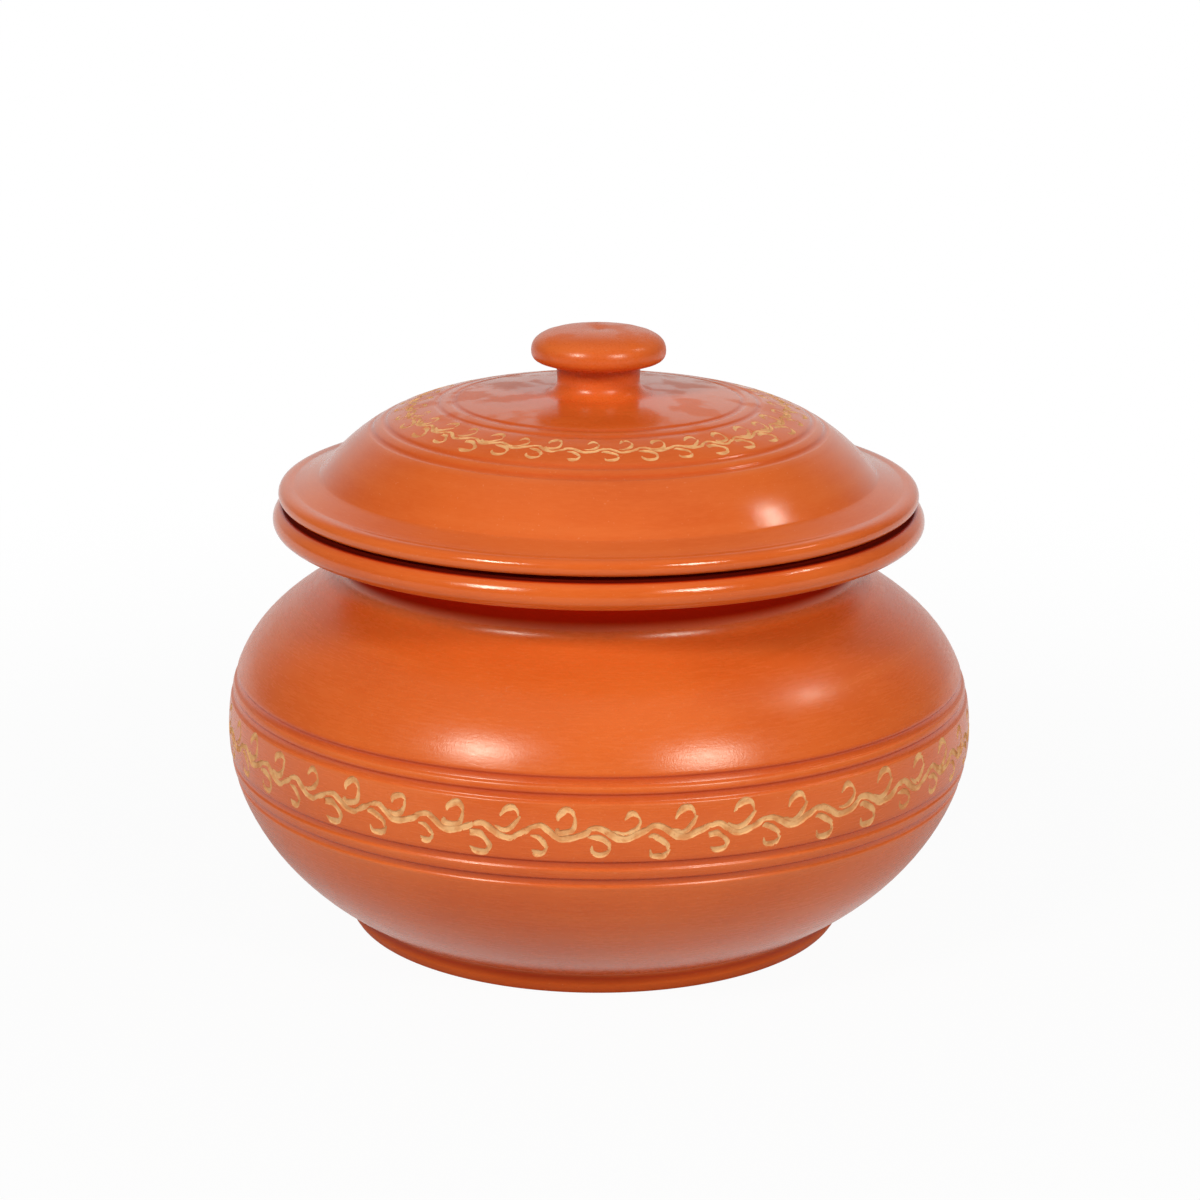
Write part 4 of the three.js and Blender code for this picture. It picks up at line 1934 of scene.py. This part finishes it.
@dataclass(frozen=True)
class Studio:
    """White studio: floor, surroundings, lamps and the camera at the photograph's angle.

    Lengths are in metres, but the lens and the sensor in millimetres. On the floor, the shares say
    how much of it shines white by itself: near the pot and in its reflections it shines less, so
    that the pot's shadow stays, but right round the foot it shines more in reflections, which
    paints a bright reflected line along the bottom of the belly. An edge is the pair of values
    between
    which a thing sets in: of the world's own coordinates, or of metres on the floor.
    """

    camera_place: tuple[float, float, float] = (0.0, -0.9628, 0.370)
    camera_target: tuple[float, float, float] = (0.0, 0.0, 0.0997)
    lens: float = 96.54
    sensor: float = 36.0
    roll: float = 0.36
    dim: float = 0.13
    overhead: float = 0.22
    overhead_edge: Edge = (0.75, 0.97)
    backdrop: float = 0.8
    backdrop_side: Edge = (0.5, 1.0)
    backdrop_top: Edge = (0.45, 0.9)
    floor_radius: float = 12.0
    floor_segments: int = 96
    floor_grey: float = 0.6
    floor_white: float = 0.955
    mirrored: float = 0.3
    mirrored_behind: float = 0.5
    mirrored_under: float = 0.45
    away_edge: Edge = (0.16, 0.6)
    behind_edge: Edge = (0.1, 0.5)
    foot_edge: Edge = (0.085, 0.12)
    softboxes: tuple[Softbox, ...] = (
        Softbox("left_softbox", -39.0, 34.0, 1.5, 0.32, 0.36, 10.6),
        Softbox("right_softbox", 35.0, 31.0, 1.5, 0.32, 0.36, 9.2),
        Softbox("right_side_lamp", 98.0, 47.0, 1.6, 0.08, 0.08, 1.5),
    )

    def build(self) -> None:
        """Sets up everything round the pot."""
        self._surroundings()
        self._floor()
        for softbox in self.softboxes:
            softbox.build(Vector(self.camera_target))
        self._camera()

    @staticmethod
    def _rays(graph: Graph, *kinds: str) -> Wire:
        """Whether a ray is of one of some kinds.

        Args:
            graph: The node tree.
            kinds: The kinds, as a Light Path node names them.

        Returns:
            1 if it is, else 0.
        """
        path = graph.add("ShaderNodeLightPath", {}, {})
        rays = [Wire(graph, path.outputs[f"Is {kind} Ray"]) for kind in kinds]
        seen = rays[0]
        for ray in rays[1:]:
            seen = seen.math("MAXIMUM", ray)
        return seen

    def _surroundings(self) -> None:
        """White for the eye; as a light, a white backdrop in a dim room."""
        world = bpy.data.worlds.new("white_studio")
        world.use_nodes = True
        bpy.context.scene.world = world
        graph = Graph(world.node_tree)
        _, away, up = graph.wire("ShaderNodeTexCoord", {}, {}, "Generated").parts()
        wall = away.ramp(*self.backdrop_side) * (1 - up.ramp(*self.backdrop_top))
        lit = self.dim + wall * (self.backdrop - self.dim)
        lit = lit + up.ramp(*self.overhead_edge) * self.overhead
        strength = lit + self._rays(graph, "Camera") * (1 - lit)
        light = graph.wire("ShaderNodeBackground", {}, {"Color": WHITE, "Strength": strength})
        graph.add("ShaderNodeOutputWorld", {}, {"Surface": light})

    def _floor(self) -> None:
        """A wide white floor that keeps the pot's faint shadow; from beneath it is clear."""
        mesh = bpy.data.meshes.new("floor")
        shape = bmesh.new()
        bmesh.ops.create_circle(
            shape, cap_ends=True, segments=self.floor_segments, radius=self.floor_radius
        )
        shape.to_mesh(mesh)
        shape.free()
        shader = Shader("white_floor")
        place = shader.place()
        x, y, _ = place.parts()
        radius = (x * x + y * y).math("SQRT")
        away, behind = radius.ramp(*self.away_edge), (radius + y).ramp(*self.behind_edge)
        # Right round the foot the floor glows brighter in reflections only: a painted reflection on
        # the bottom of the belly.
        under = 1 - radius.ramp(*self.foot_edge)
        grey = (self.floor_grey, self.floor_grey, self.floor_grey, 1.0)
        plain = shader.wire("ShaderNodeBsdfDiffuse", {}, {"Color": grey})
        white = shader.wire("ShaderNodeEmission", {}, {"Color": WHITE, "Strength": 1.0})
        seen = self.floor_white + away * (1 - self.floor_white)
        mirrored = self.mirrored + behind * self.mirrored_behind + under * self.mirrored_under
        share = seen * self._rays(shader, "Camera")
        share = share + mirrored * self._rays(shader, "Glossy")
        mixed = shader.wire("ShaderNodeMixShader", {}, {0: share, 1: plain, 2: white})
        beneath = shader.wire("ShaderNodeNewGeometry", {}, {}, "Backfacing")
        beneath = beneath * self._rays(shader, "Camera")
        clear = shader.wire("ShaderNodeBsdfTransparent", {}, {})
        mixed = shader.wire("ShaderNodeMixShader", {}, {0: beneath, 1: mixed, 2: clear})
        shader.add("ShaderNodeOutputMaterial", {}, {"Surface": mixed})
        floor = put("floor", mesh)
        floor.data.materials.append(shader.material)

    def _camera(self) -> None:
        """The camera, rolled as the photograph is."""
        data = bpy.data.cameras.new("camera")
        data.lens = self.lens
        data.sensor_width = self.sensor
        camera = put("camera", data)
        place, target = Vector(self.camera_place), Vector(self.camera_target)
        aim = (target - place).to_track_quat("-Z", "Y").to_matrix().to_4x4()
        roll = Matrix.Rotation(math.radians(self.roll), 4, "Z")
        camera.matrix_world = Matrix.Translation(place) @ aim @ roll
        bpy.context.scene.camera = camera


def dress(piece: bpy.types.Object, body: str) -> None:
    """Smooths a piece, joins it to its body of the frame and reports it.

    Args:
        piece: The finished piece.
        body: The body, which is also the node it stands for.
    """
    mesh = piece.data
    mesh.shade_smooth()
    mesh.set_sharp_from_angle(angle=math.radians(SHARP_DEGREES))
    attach(piece, body)
    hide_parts(body)
    mesh.calc_loop_triangles()
    log.info(
        "%s: %d triangles, materials %s",
        piece.name,
        len(mesh.loop_triangles),
        [material.name for material in mesh.materials if material],
    )


def main() -> None:
    """Builds the pot, its lid and the studio."""
    logging.basicConfig(level=logging.INFO, format="%(message)s")
    scene = bpy.context.scene
    scene.view_settings.view_transform = "Standard"
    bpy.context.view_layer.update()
    vine = Vine().collections()
    workshop = Workshop(
        Wheel(), VineCarver(), Turning(), vine, BurnishedSlip().make(), CutClay().make()
    )
    dress(Pot().build(workshop), "pot")
    dress(Lid().build(workshop), "lid")
    for family in vine:
        for cutter in list(family.objects):
            bpy.data.objects.remove(cutter)
        bpy.data.collections.remove(family)
    Studio().build()
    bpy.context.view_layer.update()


if __name__ == "__main__":
    main()
